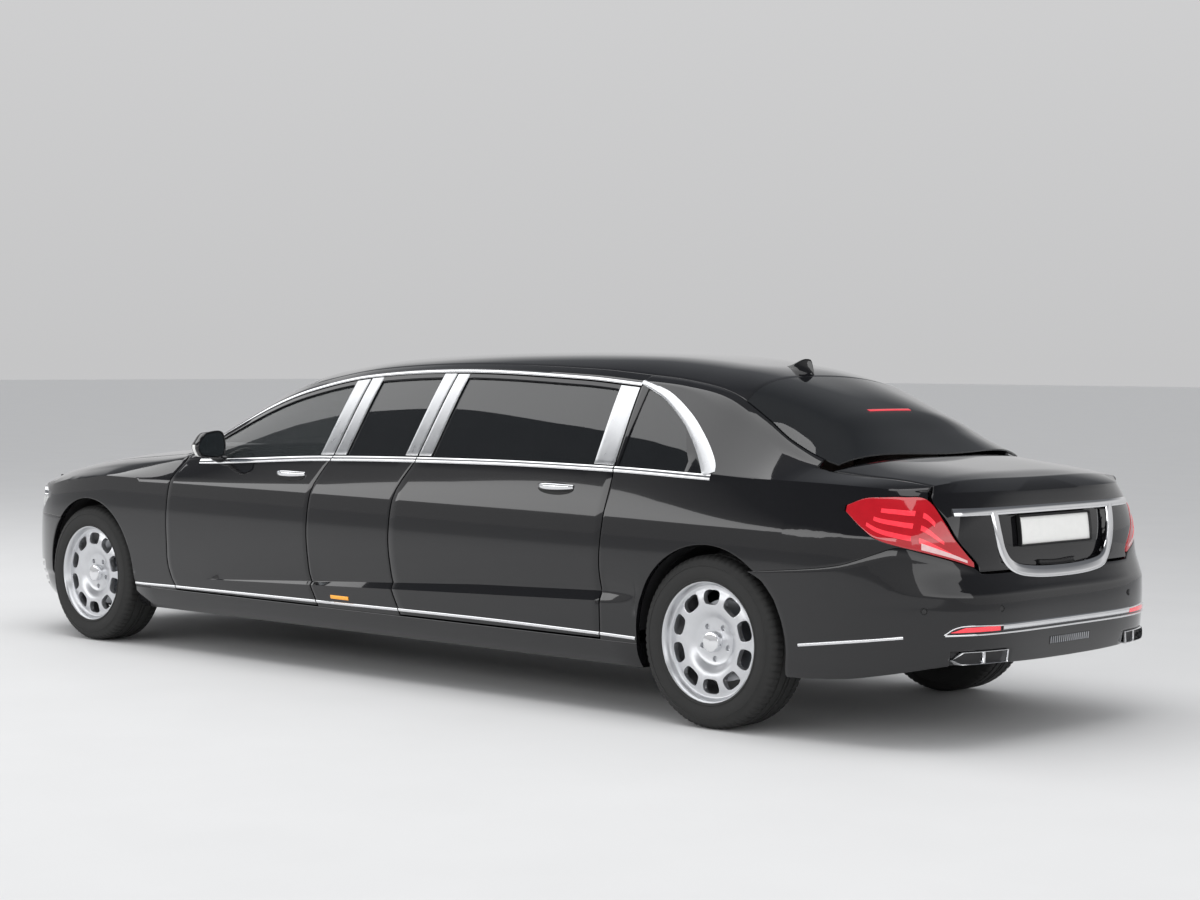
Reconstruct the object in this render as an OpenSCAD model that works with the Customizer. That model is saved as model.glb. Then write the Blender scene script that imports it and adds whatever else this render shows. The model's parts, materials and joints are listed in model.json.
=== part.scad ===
// Stretch limousine: a long saloon with a fixed panel let in between its front and rear doors.
// X points forward, Y to the left and Z up. The origin is on the ground below the middle.

/* [Overall] */
// Distance from the front axle to the rear axle
wheelbase = 4418; // [4300:1:4600]
// Front axle to the foremost point of the nose
front_overhang = 917; // [880:1:960]
// Rear axle to the rearmost point of the bumper
rear_overhang = 1164; // [1120:1:1220]
// Width of the body across the doors
body_w = 1899; // [1860:1:1940]
// Height of the roof crown above the waist of the body
house_h = 526; // [510:1:560]

/* [Wheels] */
// Radius of the tyres
tyre_r = 364; // [350:1:370]
// Width of the tyres at the bulge of the wall
tyre_w = 245; // [225:1:255]
// Radius of the rim flange
rim_r = 259; // [250:1:264]
// Distance between the middles of the front tyres
track_f = 1624; // [1600:1:1640]
// Distance between the middles of the rear tyres
track_r = 1637; // [1600:1:1644]
// Room between tyre and wheel arch
arch_gap = 44; // [38:1:50]
// Windows in the face of each wheel
rim_windows = 10; // [8:1:12]
// Radius of the wheel spindles
spindle_r = 30; // [26:1:34]
// Inboard distance from the tyre's middle to the steering pin
pin_offset = 42; // [36:1:48]

/* [Side panels] */
// Thickness of the fixed outer panels
skin_t = 24; // [18:1:30]
// Thickness of the doors below the windows
door_t = 100; // [90:1:110]
// Thickness of the window frames
frame_t = 40; // [34:1:46]
// Gap round the doors and lids
shut_gap = 7; // [6:0.5:9]
// Seam between fixed panels
seam = 0.4; // [0.2:0.1:0.6]
// Front axle back to the front edge of the front door
door_start = 714; // [690:1:740]
// Length of the front door
front_door_l = 1133; // [1110:1:1160]
// Length of the panel let in between the doors
mid_l = 600; // [560:1:640]
// Rear axle forward to the rear edge of the rear door
rear_door_end = 603; // [590:1:630]
// Height of the lower edge of the sills
sill_bot = 215; // [205:1:230]
// Height of the seam between sills and doors
sill_top = 325; // [318:1:332]
// Depth of the sills
sill_d = 190; // [170:1:210]
// Height at which the body is widest
wide_z = 700; // [680:1:720]
// Height of the frame above the side windows
window_frame = 46; // [40:1:54]

/* [Joints] */
// Hinge pins stand this far behind the front edge of each door
hinge_back = 90; // [84:1:96]
// Hinge pins stand this far inside the widest line of the body
hinge_in = 18; // [17:1:20]
// Radius of the hinge pins
hinge_r = 7; // [6:0.5:8]
// Running clearance round pins and spindles
fit = 0.05; // [0.03:0.01:0.08]

/* [Glass] */
// Thickness of the windows
glass_t = 6; // [5:0.5:8]

/* [Hidden] */
$fn = 48;
half_w = body_w / 2;
waist = 1050;
x_front = (front_overhang + wheelbase + rear_overhang) / 2;
x_rear = -x_front;
axle_f = x_front - front_overhang;
axle_r = axle_f - wheelbase;
arch_r = tyre_r + arch_gap;
front_cut = axle_f - door_start;
mid_cut = front_cut - front_door_l;
rear_cut = mid_cut - mid_l;
quarter_cut = axle_r + rear_door_end;
x_bow = axle_f - 900;
x_stern = axle_r + 600;
bow_len = x_front - x_bow;
stern_len = x_stern - x_rear;
hinge_y = half_w - hinge_in;
pin_y = track_f / 2 - pin_offset;
bow_power = 6;
bow_round = 3;
stern_power = 8;
stern_round = 4;
crown_power = 3.4;
side_bow = 10;
rail_w = 55;
rail_lip = 18;
cowl_x = axle_f - 602;
screen_bow = 175;
header_x = axle_f - 1430;
header_bow = 110;
rear_header_x = axle_r + 156;
rear_bow = 95;
rear_base_x = axle_r - 554;
base_bow = 90;

// Height at a share of the way from the waist to the roof crown
function up(share) = waist + share * house_h;

// Belt line from nose to tail: [x, height, distance inside the widest line]
belt = [
    [x_front - 55, 812, 120],
    [x_front - 155, 834, 116],
    [x_front - 375, 874, 108],
    [axle_f, 930, 96],
    [axle_f - 400, 968, 84],
    [axle_f - 790, 1002, 70],
    [axle_f - 1106, 1015, 60],
    [axle_f - 1905, 1055, 56],
    [axle_r + 1400, 1076, 55],
    [axle_r + 565, 1072, 56],
    [axle_r, 1056, 64],
    [axle_r - 560, 1046, 86],
    [axle_r - 900, 1030, 104],
    [axle_r - 1110, 1012, 116]];

// Edge of the bonnet, then windscreen pillar, roof rail and edge of the boot lid: [x, y, height]
rail = [
    [x_front - 120, half_w - 405, 846],
    [axle_f + 468, half_w - 278, 908],
    [axle_f, half_w - 212, 970],
    [axle_f - 532, half_w - 174, 1014],
    [axle_f - 700, half_w - 144, 1026],
    [axle_f - 800, half_w - 118, 1042],
    [axle_f - 1032, half_w - 174, up(0.22)],
    [axle_f - 1332, half_w - 228, up(0.483)],
    [axle_f - 1594, half_w - 258, up(0.639)],
    [axle_f - 2000, half_w - 284, up(0.774)],
    [axle_r + 1740, half_w - 295, up(0.836)],
    [axle_r + 960, half_w - 295, up(0.791)],
    [axle_r + 640, half_w - 292, up(0.745)],
    [axle_r + 386, half_w - 294, up(0.707)],
    [axle_r + 136, half_w - 288, up(0.616)],
    [axle_r - 64, half_w - 270, up(0.403)],
    [axle_r - 214, half_w - 246, up(0.22)],
    [axle_r - 394, half_w - 234, up(0.095)],
    [axle_r - 560, half_w - 244, 1078],
    [axle_r - 800, half_w - 256, 1062],
    [axle_r - 1000, half_w - 278, 1036]];

// Middle line over windscreen, roof and rear window: [x, height]
crown = [
    [axle_f - 540, 1040],
    [axle_f - 602, up(0.03)],
    [axle_f - 700, up(0.125)],
    [axle_f - 1050, up(0.475)],
    [axle_f - 1430, up(0.795)],
    [axle_f - 1700, up(0.886)],
    [axle_f - 2132, up(0.958)],
    [axle_r + 1486, up(1)],
    [axle_r + 780, up(0.98)],
    [axle_r + 350, up(0.882)],
    [axle_r + 56, up(0.73)],
    [axle_r - 250, up(0.51)],
    [axle_r - 554, up(0.2)],
    [axle_r - 640, up(0.11)]];
// Middle line over the bonnet and over the boot lid: [x, height]
bonnet_crown = [
    [x_front - 60, 820],
    [x_front - 140, 874],
    [axle_f + 468, 946],
    [axle_f, 1010],
    [axle_f - 532, 1060],
    [axle_f - 800, 1078]];
lid_crown = [
    [axle_r - 380, 1156],
    [axle_r - 570, 1136],
    [axle_r - 890, 1088],
    [axle_r - 1000, 1060]];

// Front and rear faces: [height, distance inside the foremost or rearmost point]
nose_in = [[900, 170], [860, 120], [800, 82], [700, 44], [600, 18], [450, 0], [330, 6], [250, 30], [200, 62]];
tail_in = [[1040, 122], [1000, 104], [935, 82], [850, 68], [718, 55], [650, 24], [606, 4], [470, 0], [373, 8],
    [300, 32], [200, 84]];

// Shut line in front of each door and panel: [height, distance behind the widest place]
shut_line = [[up(0.78), 184], [1065, 140], [1000, 90], [900, 28], [740, 0], [560, 0], [456, 4], [340, 50], [200, 100]];
// Shut line behind the rear door: [height, distance behind its place]
last_line = [[up(0.745), -14], [1074, 34], [860, 14], [730, 0], [500, -12], [340, -20], [200, -26]];

// Lamps round the corners: [angle round the corner, lower edge, upper edge]
tail_lamp_edge = [[69, 722, 740], [62, 748, 822], [55, 768, 905], [46, 790, 992], [36, 812, 1002], [28, 838, 1000],
    [22, 886, 994], [17, 944, 964]];
head_lamp_edge = [[69, 655, 822], [58, 652, 824], [47, 656, 828], [38, 668, 834], [31, 700, 828], [26, 752, 786]];
// Upper edges of the bumpers: [angle round the corner, height]
bow_top = [[90, 650], [69, 650], [58, 648], [47, 652], [38, 660], [26, 662], [22, 660], [14, 652]];
stern_top = [[90, 697], [71, 698], [69, 719], [62, 745], [55, 765], [46, 787], [36, 806], [28, 780], [22, 752],
    [17, 728], [6, 692], [2, 672]];
// Lower edge of the rear bumper: [angle round the corner, height]
stern_low = [[90, 334], [62, 346], [46, 332], [28, 298], [17, 272], [0, 244]];
// Side edge of the boot lid's rear face: [height, angle round the corner]
lid_edge = [[1040, 49], [992, 48], [905, 56.5], [822, 63], [740, 70], [690, 70.5]];
// Upper edge of the quarter window: [x, share of the height up to the rail]
quarter_top = [[axle_r + 600, 0.94], [axle_r + 409, 0.86], [axle_r + 377, 0.83], [axle_r + 288, 0.66],
    [axle_r + 156, 0.12], [axle_r, 0.3], [axle_r - 400, 0.6], [axle_r - 700, 0.66]];

// Smooth curve through a table whose first column falls
function lerp(a, b, t) = a + (b - a) * t;
function row(t, x, i = 0) = i >= len(t) - 2 || x >= t[i + 1][0] ? i : row(t, x, i + 1);
function slope(t, i, c) =
    let (a = max(i - 1, 0), b = min(i + 1, len(t) - 1))
    (t[b][c] - t[a][c]) / (t[b][0] - t[a][0]);
function curve(t, x, c = 1) =
    let (i = row(t, x), h = t[i + 1][0] - t[i][0], s = min(max((x - t[i][0]) / h, 0), 1))
    t[i][c] * (1 + 2 * s) * (1 - s) * (1 - s) + t[i + 1][c] * s * s * (3 - 2 * s)
    + h * (slope(t, i, c) * s * (1 - s) * (1 - s) + slope(t, i + 1, c) * s * s * (s - 1));

// Lines along the body side
function belt_z(x) = curve(belt, x);
function crease_z(x) = min(lerp(858, 893, (x - axle_r - 590) / 3014), belt_z(x) - 46);
function ledge_lo(x) = lerp(495, 400, (x + 1500) / 2800);
function ledge_hi(x) = ledge_lo(x) + max(4, min(42, 42 * (1300 - x) / 2000));
function ledge_in(x) = 18 * min(max((1300 - x) / 900, 0), 1) * min(max((x - axle_r - 380) / 200, 0), 1);

// How far the body side lies inside its widest line
function inset(x, z) =
    let (lo = ledge_lo(x), hi = ledge_hi(x), dip = 14 + ledge_in(x), crease = crease_z(x), top = belt_z(x))
    z < sill_top ? 30 + 46 * pow((sill_top - z) / (sill_top - sill_bot), 2)
    : z < lo ? lerp(30, 14, (z - sill_top) / (lo - sill_top))
    : z < hi ? lerp(14, dip, (z - lo) / (hi - lo))
    : z < wide_z ? dip * pow((wide_z - z) / (wide_z - hi), 2)
    : z < crease ? 7 * pow((z - wide_z) / (crease - wide_z), 2)
    : lerp(7, curve(belt, x, 2), pow((z - crease) / (top - crease), 1.15));

// Point on the body side and round its corners, d below the surface
function end_t(x) = max(x >= 0 ? (x - x_bow) / bow_len : (x_stern - x) / stern_len, 0);
function round_in(t, m, n) = pow(max(1 - pow(min(t, 1), m), 0), 1 / n);
function side(x, z, d) =
    let (t = end_t(x), y = half_w - inset(x, z) - d)
    x >= 0 ? [x - pow(t, 4) * (curve(nose_in, z) + d), y * round_in(t, bow_power, bow_round), z]
           : [x + pow(t, 4) * (curve(tail_in, z) + d), y * round_in(t, stern_power, stern_round), z];
function bow_x(a) = x_bow + bow_len * pow(sin(a), 2 / bow_power);
function stern_x(a) = x_stern - stern_len * pow(sin(a), 2 / stern_power);
function bow_angle(x) = asin(pow(end_t(x), bow_power / 2));
function stern_angle(x) = asin(pow(end_t(x), stern_power / 2));

// Point between the belt line (t = 0) and the rail (t = 1), d below the surface
function upper(x, t, d) =
    let (b = side(x, belt_z(x), 0), ry = curve(rail, b.x), rz = curve(rail, b.x, 2),
         lie = pow(b.y - ry, 2) / (pow(b.y - ry, 2) + pow(rz - b.z, 2)),
         flat = min(max((lie - 0.4) / 0.3, 0), 1))
    [b.x, lerp(b.y, ry, t) + side_bow * 4 * t * (1 - t) - d * (1 - flat), lerp(b.z, rz, t) - d * flat];
function upper_t(x, drop) = 1 - drop / (curve(rail, x, 2) - belt_z(x));

// Point on bonnet, windscreen, roof, rear window or boot lid, d below the surface
function top(x, y, d, middle = crown) =
    let (ry = curve(rail, x), rz = curve(rail, x, 2))
    [x, y, rz + (curve(middle, x) - rz) * (1 - pow(min(abs(y) / ry, 1), crown_power)) - d];

// Closed wall between two grids of points, with the cells left out for which hole(i, j) is true
module wall(outer, inner, hole = function (i, j) false) {
    n = len(outer);
    m = len(outer[0]);
    u = outer[1][0] - outer[0][0];
    v = outer[0][1] - outer[0][0];
    back = cross(u, v) * (outer[0][0] - inner[0][0]) > 0;
    kept = function (i, j) i >= 0 && j >= 0 && i < n - 1 && j < m - 1 && !hole(i, j);
    o = function (i, j) i * m + j;
    s = n * m;
    rim = function (p, q) [[p + s, q + s, q], [p + s, q, p]];
    cell = function (i, j)
        let (a = o(i, j), b = o(i + 1, j), c = o(i + 1, j + 1), e = o(i, j + 1))
        concat(
            [[a, b, c], [a, c, e], [a + s, c + s, b + s], [a + s, e + s, c + s]],
            kept(i, j - 1) ? [] : rim(a, b),
            kept(i + 1, j) ? [] : rim(b, c),
            kept(i, j + 1) ? [] : rim(c, e),
            kept(i - 1, j) ? [] : rim(e, a));
    faces = [for (i = [0:n - 2], j = [0:m - 2]) if (kept(i, j)) each cell(i, j)];
    polyhedron(
        points = concat([for (p = outer) each p], [for (p = inner) each p]),
        faces = [for (f = faces) back ? [f[2], f[1], f[0]] : f]);
}

// Left and right
module both() {
    children();
    mirror([0, 1, 0]) children();
}

// Shut lines and the wheel arches
function cut_x(base, z) = base - curve(shut_line, z);
function last_x(z) = quarter_cut - curve(last_line, z);
function arch_z(x, axle) = tyre_r + sqrt(max(arch_r * arch_r - (x - axle) * (x - axle), 0));
function arch_reach(z) = sqrt(arch_r * arch_r - pow(max(z - tyre_r, 0), 2));

// Rows of a door or mid panel: seven heights below the belt line, then shares of the window height
function panel_z(x, r, low) =
    r == 0 ? low : r == 1 ? ledge_lo(x) : r == 2 ? ledge_hi(x) : r == 3 ? (ledge_hi(x) + wide_z) / 2
    : r == 4 ? wide_z : r == 5 ? lerp(wide_z, crease_z(x), 0.6) : r == 6 ? crease_z(x) : belt_z(x);
function panel_t(x, r, lip) =
    let (glass_top = max(upper_t(x, window_frame), 0.06))
    r == 7 ? 0 : r == 8 ? glass_top / 2 : r == 9 ? glass_top : max(upper_t(x, lip), 0.12);
function panel_d(r) = r < 7 ? door_t : r == 7 ? 0.7 * door_t : frame_t;
// Point of a door or mid panel that runs from its front line (c = 0) to its rear line (c = 1)
function panel_point(front, rear, last, c, r, low, lip, gap, d) =
    let (x0 = lerp(front, rear, c),
         z0 = r <= 7 ? panel_z(x0, r, low) : lerp(belt_z(x0), curve(rail, x0, 2), panel_t(x0, r, lip)),
         x = lerp(cut_x(front, z0) - gap, (last ? last_x(z0) : cut_x(rear, z0)) + gap, c))
    r < 7 ? side(x, panel_z(x, r, low), d) : upper(x, panel_t(x, r, lip), d);
// Rear edge of a door, drawn in towards the inside so that it swings clear
function swing_in(p, d, front, c) =
    c < 1 ? p : p + [d * (hinge_y - p.y - d / 2) / (front - hinge_back - p.x), 0, 0];

module side_panel(front, rear, last, cols, low, lip, gap, swings, window) {
    outer = [for (c = cols) [for (r = [0:10]) panel_point(front, rear, last, c, r, low, lip, gap, 0)]];
    inner = [for (c = cols) [for (r = [0:10])
        let (p = panel_point(front, rear, last, c, r, low, lip, gap, panel_d(r)))
        swings ? swing_in(p, panel_d(r), front, c) : p]];
    wall(outer, inner, function (i, j) (j == 7 || j == 8) && i >= window[0] && i <= window[1]);
}

// Pane in a window opening, set back from the outside and kept off its frame by the seam
module pane(front, rear, last, cols, lip, gap) {
    grid = function (d) [for (k = [0:len(cols) - 1]) [for (r = [7:9])
        let (edge = k == 0 ? -seam : k == len(cols) - 1 ? seam : 0,
             p = panel_point(front, rear, last, cols[k], r, 0, lip, gap, d))
        p + [edge, 0, r == 7 ? seam : r == 9 ? -seam : 0]]];
    wall(grid(12), grid(12 + glass_t));
}

// Door hinges: pins on necks that reach round the door's inner face from a post on the sill
hinge_z = [640, 800];
neck_y = half_w - door_t - 52;
module hinge_room(front) {
    for (z = hinge_z) {
        translate([front - hinge_back - 12, neck_y - 20, z - 13])
            cube([hinge_back + 40, hinge_y + 30 - neck_y, 26]);
        translate([front - hinge_back, hinge_y, z - 30])
            cylinder(r = hinge_r + fit, h = 60);
    }
}
module hinge(front) {
    translate([front + 20, neck_y - 14, sill_top])
        cube([40, 30, hinge_z[1] + 40 - sill_top]);
    for (z = hinge_z) {
        translate([front - hinge_back, hinge_y, z - 26])
            cylinder(r = hinge_r, h = 52);
        translate([front - hinge_back - 9, neck_y, z - 10])
            cube([18, hinge_y - neck_y, 20]);
        translate([front - hinge_back - 9, neck_y, z - 10])
            cube([hinge_back + 49, 16, 20]);
    }
}

front_cols = [0, 0.08, 0.16, 0.4, 0.64, 0.8, 0.916, 1];
rear_cols = [0, 0.068, 0.25, 0.48, 0.7, 0.905, 1];
mid_cols = [0, 0.14, 0.5, 0.86, 1];
door_lip = rail_lip + shut_gap;
door_low = sill_top + shut_gap;
mid_lip = rail_lip + 5;

module front_door() {
    difference() {
        side_panel(front_cut, mid_cut, false, front_cols, door_low, door_lip, shut_gap / 2, true, [2, 5]);
        hinge_room(front_cut);
    }
}
module rear_door() {
    difference() {
        side_panel(rear_cut, quarter_cut, true, rear_cols, door_low, door_lip, shut_gap / 2, true, [1, 4]);
        hinge_room(rear_cut);
    }
}
module front_pane() {
    pane(front_cut, mid_cut, false, [for (k = [2:6]) front_cols[k]], door_lip, shut_gap / 2);
}
module rear_pane() {
    pane(rear_cut, quarter_cut, true, [for (k = [1:5]) rear_cols[k]], door_lip, shut_gap / 2);
}
// Door mirror: a shell that narrows towards the front, on a foot beside the window
mirror_x = front_cut - 425;
mirror_outline = [[-34, 4], [96, 0], [126, 20], [138, 56], [116, 90], [92, 118], [66, 126], [-26, 124]];
module mirror_slab(x, w, share) {
    translate([x, side(mirror_x, waist, 0).y + 56, waist - 18]) rotate([90, 0, 90])
        linear_extrude(height = w) translate([40, 62]) scale(share) translate([-40, -62]) polygon(mirror_outline);
}
module mirror_shell() {
    hull() {
        mirror_slab(mirror_x, 20, 1);
        mirror_slab(mirror_x + 62, 8, 0.86);
        mirror_slab(mirror_x + 96, 6, 0.5);
    }
    low = side(mirror_x + 20, waist - 62, -seam).y;
    high = side(mirror_x + 20, waist - 44, -seam).y;
    translate([mirror_x + 20, 0, waist - 62]) rotate([90, 0, 90])
        linear_extrude(height = 50)
            polygon([[low, 0], [low + 20, 8], [high + 74, 60], [high + 34, 70], [high, 18]]);
}

// Front wing, from the door to the bonnet and head lamp
function wing_x(k, z) = k == 0 ? cut_x(front_cut, z) + shut_gap / 2 : wing_cols[k];
function wing_low(x) =
    x < axle_f - arch_r - 1 ? sill_top
    : x < axle_f ? arch_z(x, axle_f) : max(arch_z(x, axle_f), curve(bow_top, bow_angle(x)) + seam);
wing_cols = concat([front_cut, front_cut + 14, axle_f - arch_r - 120, axle_f - arch_r - 2],
    [for (a = [180:-22.5:0]) axle_f + arch_r * cos(a)],
    [for (a = [26, 31, 38, 47, 53]) bow_x(a)]);
wing_lamp = 13;
corner_gap = 6;
wing_share = [0, 0.13, 0.2, 0.45, 0.68, 0.88, 1];
function wing_z(k, r) =
    let (x = wing_cols[k], a = bow_angle(x), low = wing_low(x), over = curve(head_lamp_edge, a, 2) + seam)
    k < 4 ? panel_z(x, r, sill_top)
    : r == 7 ? belt_z(x)
    : k < wing_lamp ? lerp(low, crease_z(x), wing_share[r])
    : r == 0 ? low
    : r == 1 ? max(curve(head_lamp_edge, a) - seam, low + 2)
    : lerp(over, belt_z(x), (r - 2) / 5);
function wing_point(k, r, d) =
    let (z = wing_z(k, min(r, 7)), x = wing_x(k, z) + (k == 0 && r > 6 ? corner_gap : 0))
    r < 7 ? side(x, z, d) : r == 7 ? upper(x, 0, d) : upper(x, 1, 0) - [0, 0, d];
module front_wing() {
    grid = function (d) [for (k = [0:len(wing_cols) - 1]) [for (r = [0:8]) wing_point(k, r, d)]];
    wall(grid(0), grid(skin_t), function (i, j)
        (j == 1 && i >= wing_lamp) || (j == 0 && i >= wing_lamp + 2));
}

// Quarter panel with the rear roof pillar, from the rear door to the tail lamp
function quarter_x(k, z) = k < 2 ? last_x(z) - shut_gap / 2 - 40 * k : quarter_cols[k];
function quarter_low(x) =
    x > axle_r + arch_r + 1 ? sill_top
    : x > axle_r ? arch_z(x, axle_r) : max(arch_z(x, axle_r), curve(stern_top, stern_angle(x)) + seam);
quarter_cols = concat([quarter_cut, quarter_cut - 40, axle_r + arch_r + 2],
    [for (a = [0:22.5:180]) axle_r + arch_r * cos(a)],
    [for (a = [17, 22, 28, 36, 46]) stern_x(a)]);
quarter_lamp = 12;
function quarter_z(k, r) =
    let (x = quarter_cols[k], a = stern_angle(x), low = quarter_low(x), crease = crease_z(x),
         lamp = k >= quarter_lamp, over = curve(tail_lamp_edge, a, 2) + seam)
    r == 0 ? low
    : r == 1 ? (lamp ? max(curve(tail_lamp_edge, a) - seam, low + 2) : lerp(low, crease, 0.4))
    : r == 2 ? (lamp ? over : lerp(low, crease, 0.75))
    : r == 3 ? (lamp ? lerp(over, belt_z(x), 0.5) : crease) : belt_z(x);
function quarter_t(x, r) = r == 4 ? 0 : r == 5 ? curve(quarter_top, x) / 2 : r == 6 ? curve(quarter_top, x) : 1;
function quarter_point(k, r, d) =
    let (z0 = r < 5 ? quarter_z(k, r) : lerp(belt_z(quarter_cols[k]), up(0.745), quarter_t(quarter_cols[k], r)),
         x = quarter_x(k, z0), rim = upper(x, 1, 0))
    r < 4 ? side(x, quarter_z(k, r), d)
    : r == 4 ? upper(x, 0, d)
    : r < 7 && k < 11 ? upper(x, quarter_t(x, r), d * 1.25)
    : r < 7 ? upper(x, quarter_t(x, r), 0) - [0, 0, d]
    : r == 7 ? rim - [0, k < 11 ? d : 0, d] : top(rim.x, rim.y - rail_w + 4, d);
module quarter_panel() {
    grid = function (d) [for (k = [0:len(quarter_cols) - 1]) [for (r = [0:8]) quarter_point(k, r, d)]];
    wall(grid(0), grid(skin_t), function (i, j)
        (j == 1 && i >= quarter_lamp) || (j == 0 && i >= quarter_lamp + 3) || (j == 7 && i >= 11)
        || ((j == 4 || j == 5) && i >= 1 && i <= 5));
}
module quarter_pane() {
    grid = function (d) [for (k = [1:6]) [for (r = [4:6])
        quarter_point(k, r, d)
        + [k == 1 ? -seam : k == 6 ? seam : 0, 0, r == 4 ? seam : r == 6 ? -seam : 0]]];
    wall(grid(6), grid(6 + glass_t));
}
module mid_panel() {
    side_panel(mid_cut, rear_cut, false, mid_cols, sill_top, mid_lip, shut_gap / 2, false, [1, 2]);
}
module mid_pane() {
    pane(mid_cut, rear_cut, false, [mid_cols[1], mid_cols[2], mid_cols[3]], mid_lip, shut_gap / 2);
}

// Windscreen pillar and roof rail in one, with the same stations as windscreen and roof
foot_x = cut_x(front_cut, belt_z(front_cut)) + shut_gap / 2 + corner_gap - seam;
rail_end = last_x(up(0.745)) - shut_gap / 2 + seam;
function screen_x(s, v) = lerp(cowl_x - screen_bow * v * v, header_x + seam - header_bow * v * v, s / 6);
function roof_x(s, v) = lerp(header_x - header_bow * v * v, rear_header_x - rear_bow * v * v, s / 14);
rail_cols = concat(
    [foot_x],
    [for (s = [0:6]) if (screen_x(s, 1) < foot_x - 1) screen_x(s, 1)],
    [for (s = [0:14]) if (roof_x(s, 1) > rail_end + 1) roof_x(s, 1)],
    [rail_end]);
function rail_point(x, r, d) =
    r == 0 ? upper(x, upper_t(x, rail_lip), 0) - [0, d, 0]
    : r == 1 ? upper(x, 1, 0) - [0, d, d * 0.9] : top(x, curve(rail, x) - rail_w, d);
module roof_rail() {
    grid = function (d) [for (x = rail_cols) [for (r = [0:2]) rail_point(x, r, d)]];
    wall(grid(0), grid(skin_t + 10));
}

// Panels across the car: rows from a front edge to a rear edge that bend with the square of v
across = [for (k = [-8:8]) k / 8];
module cross_panel(station, rows, inside, d, middle = crown) {
    grid = function (e) [for (s = [0:rows]) [for (v = across)
        let (x = station(s, v))
        top(x, v * (curve(rail, x) - inside), e, middle)]];
    wall(grid(0), grid(d));
}
function rear_screen_x(s, v) =
    lerp(rear_header_x - seam - rear_bow * v * v, rear_base_x + base_bow * v * v, s / 6);
function bonnet_x(s, v) = lerp(x_front - 150 - 60 * v * v, axle_f - 562 - 130 * v * v, s / 9);

// Bonnet, on pins below its rear corners
bonnet_pin = [axle_f - 690, half_w - 350, 1004];
module bonnet_skin() {
    cross_panel(function (s, v) bonnet_x(s, v), 9, shut_gap, skin_t, bonnet_crown);
}
// Boot lid: top rows, then the rear face down to the bumper
lid_z = [1018, 960, 900, 820, 740, 705];
function lid_point(r, v, d) =
    r < 5 ?
        let (x = lerp(rear_base_x - 16 + base_bow * v * v, axle_r - 999 + 50 * v * v, r / 4))
        top(x, v * (curve(rail, x) - shut_gap), d, lid_crown)
    :
        let (z = lid_z[r - 5], a = lerp(90, curve(lid_edge, z), abs(v)), p = side(stern_x(a), z, d))
        [p.x, v < 0 ? -p.y : p.y, p.z];
module lid_skin() {
    grid = function (d) [for (r = [0:10]) [for (v = across) lid_point(r, v, d)]];
    wall(grid(0), grid(skin_t));
}
lid_pin = [axle_r - 315, half_w - 350, 1070];

// Ends of the body: a runs round the nose or tail from the left arch over the middle to the right
function mirror_y(p, right) = right ? [p.x, -p.y, p.z] : p;
bow_cols = [0, 22, 26, 31, 38, 47, 58, 69, 79, 90, 101, 111, 122, 133, 142, 149, 154, 158, 180];
stern_cols = [0, 6, 17, 22, 28, 36, 46, 55, 62, 69, 71, 80, 90, 100, 109, 111, 118, 125, 134, 144, 152, 158, 163,
    174, 180];
function bow_point(a, z, d) =
    let (b = a > 90 ? 180 - a : a, x = b == 0 ? axle_f + arch_reach(z) : max(bow_x(b), axle_f + arch_r + 1))
    mirror_y(side(x, z, d), a > 90);
function stern_point(a, z, d) =
    let (b = a > 90 ? 180 - a : a, x = b == 0 ? axle_r - arch_reach(z) : min(stern_x(b), axle_r - arch_r - 1))
    mirror_y(side(x, z, d), a > 90);
function low_end(a, top_line) = curve(top_line, a > 90 ? 180 - a : a);
bumper_z = [210, 260, 330, 400, 470, 540, 606];
function stern_z(a, r) =
    let (low = low_end(a, stern_low))
    r < 3 ? lerp(low, 470, r / 3) : r == 6 ? low_end(a, stern_top) : [470, 540, 606][r - 3];
module front_bumper_skin() {
    grid = function (d) [for (a = bow_cols) [for (r = [0:7])
        bow_point(a, r < 7 ? bumper_z[r] : low_end(a, bow_top), d)]];
    wall(grid(0), grid(skin_t), function (i, j)
        (j >= 4 && i >= 7 && i <= 10) || ((j == 1 || j == 2) && i >= 6 && i <= 11));
}
module rear_bumper_skin() {
    grid = function (d) [for (a = stern_cols) [for (r = [0:6]) stern_point(a, stern_z(a, r), d)]];
    difference() {
        wall(grid(0), grid(skin_t));
        both() tip_prism(tip_wall + 2, 300);
    }
}
// Exhaust tips: outline seen from behind, and a prism of it that stands out by e all round
tip_wall = 7;
tip_outline = [[452, 342], [676, 342], [716, 366], [668, 396], [440, 396]];
module tip_prism(e, l) {
    translate([x_rear + 20, 0, 0]) rotate([90, 0, 90])
        linear_extrude(height = l) offset(delta = e) polygon(tip_outline);
}
module lamp(edge, angles, stern) {
    n = len(angles) - 1;
    grid = function (d) [for (k = [0:n]) [for (s = [0, 0.5, 1])
        let (a = angles[k] + (k == 0 ? 0.1 : 0),
             z = lerp(curve(edge, angles[k]) + seam, curve(edge, angles[k], 2) - seam, s))
        side(stern ? stern_x(a) : bow_x(a), z, d)]];
    wall(grid(0), grid(60));
}
grille_z = [bumper_z[4] + seam, 500, 545, 557, 602, 614, 659, 671, 716, 728, 773, 785, 816, 836];
module grille_frame() {
    grid = function (d) [for (a = [72, 75, 80, 85, 90, 95, 100, 105, 108]) [for (z = grille_z) bow_point(a, z, d)]];
    wall(grid(0), grid(skin_t), function (i, j) j % 2 == 1 && i >= 1 && i <= 6);
}

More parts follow.
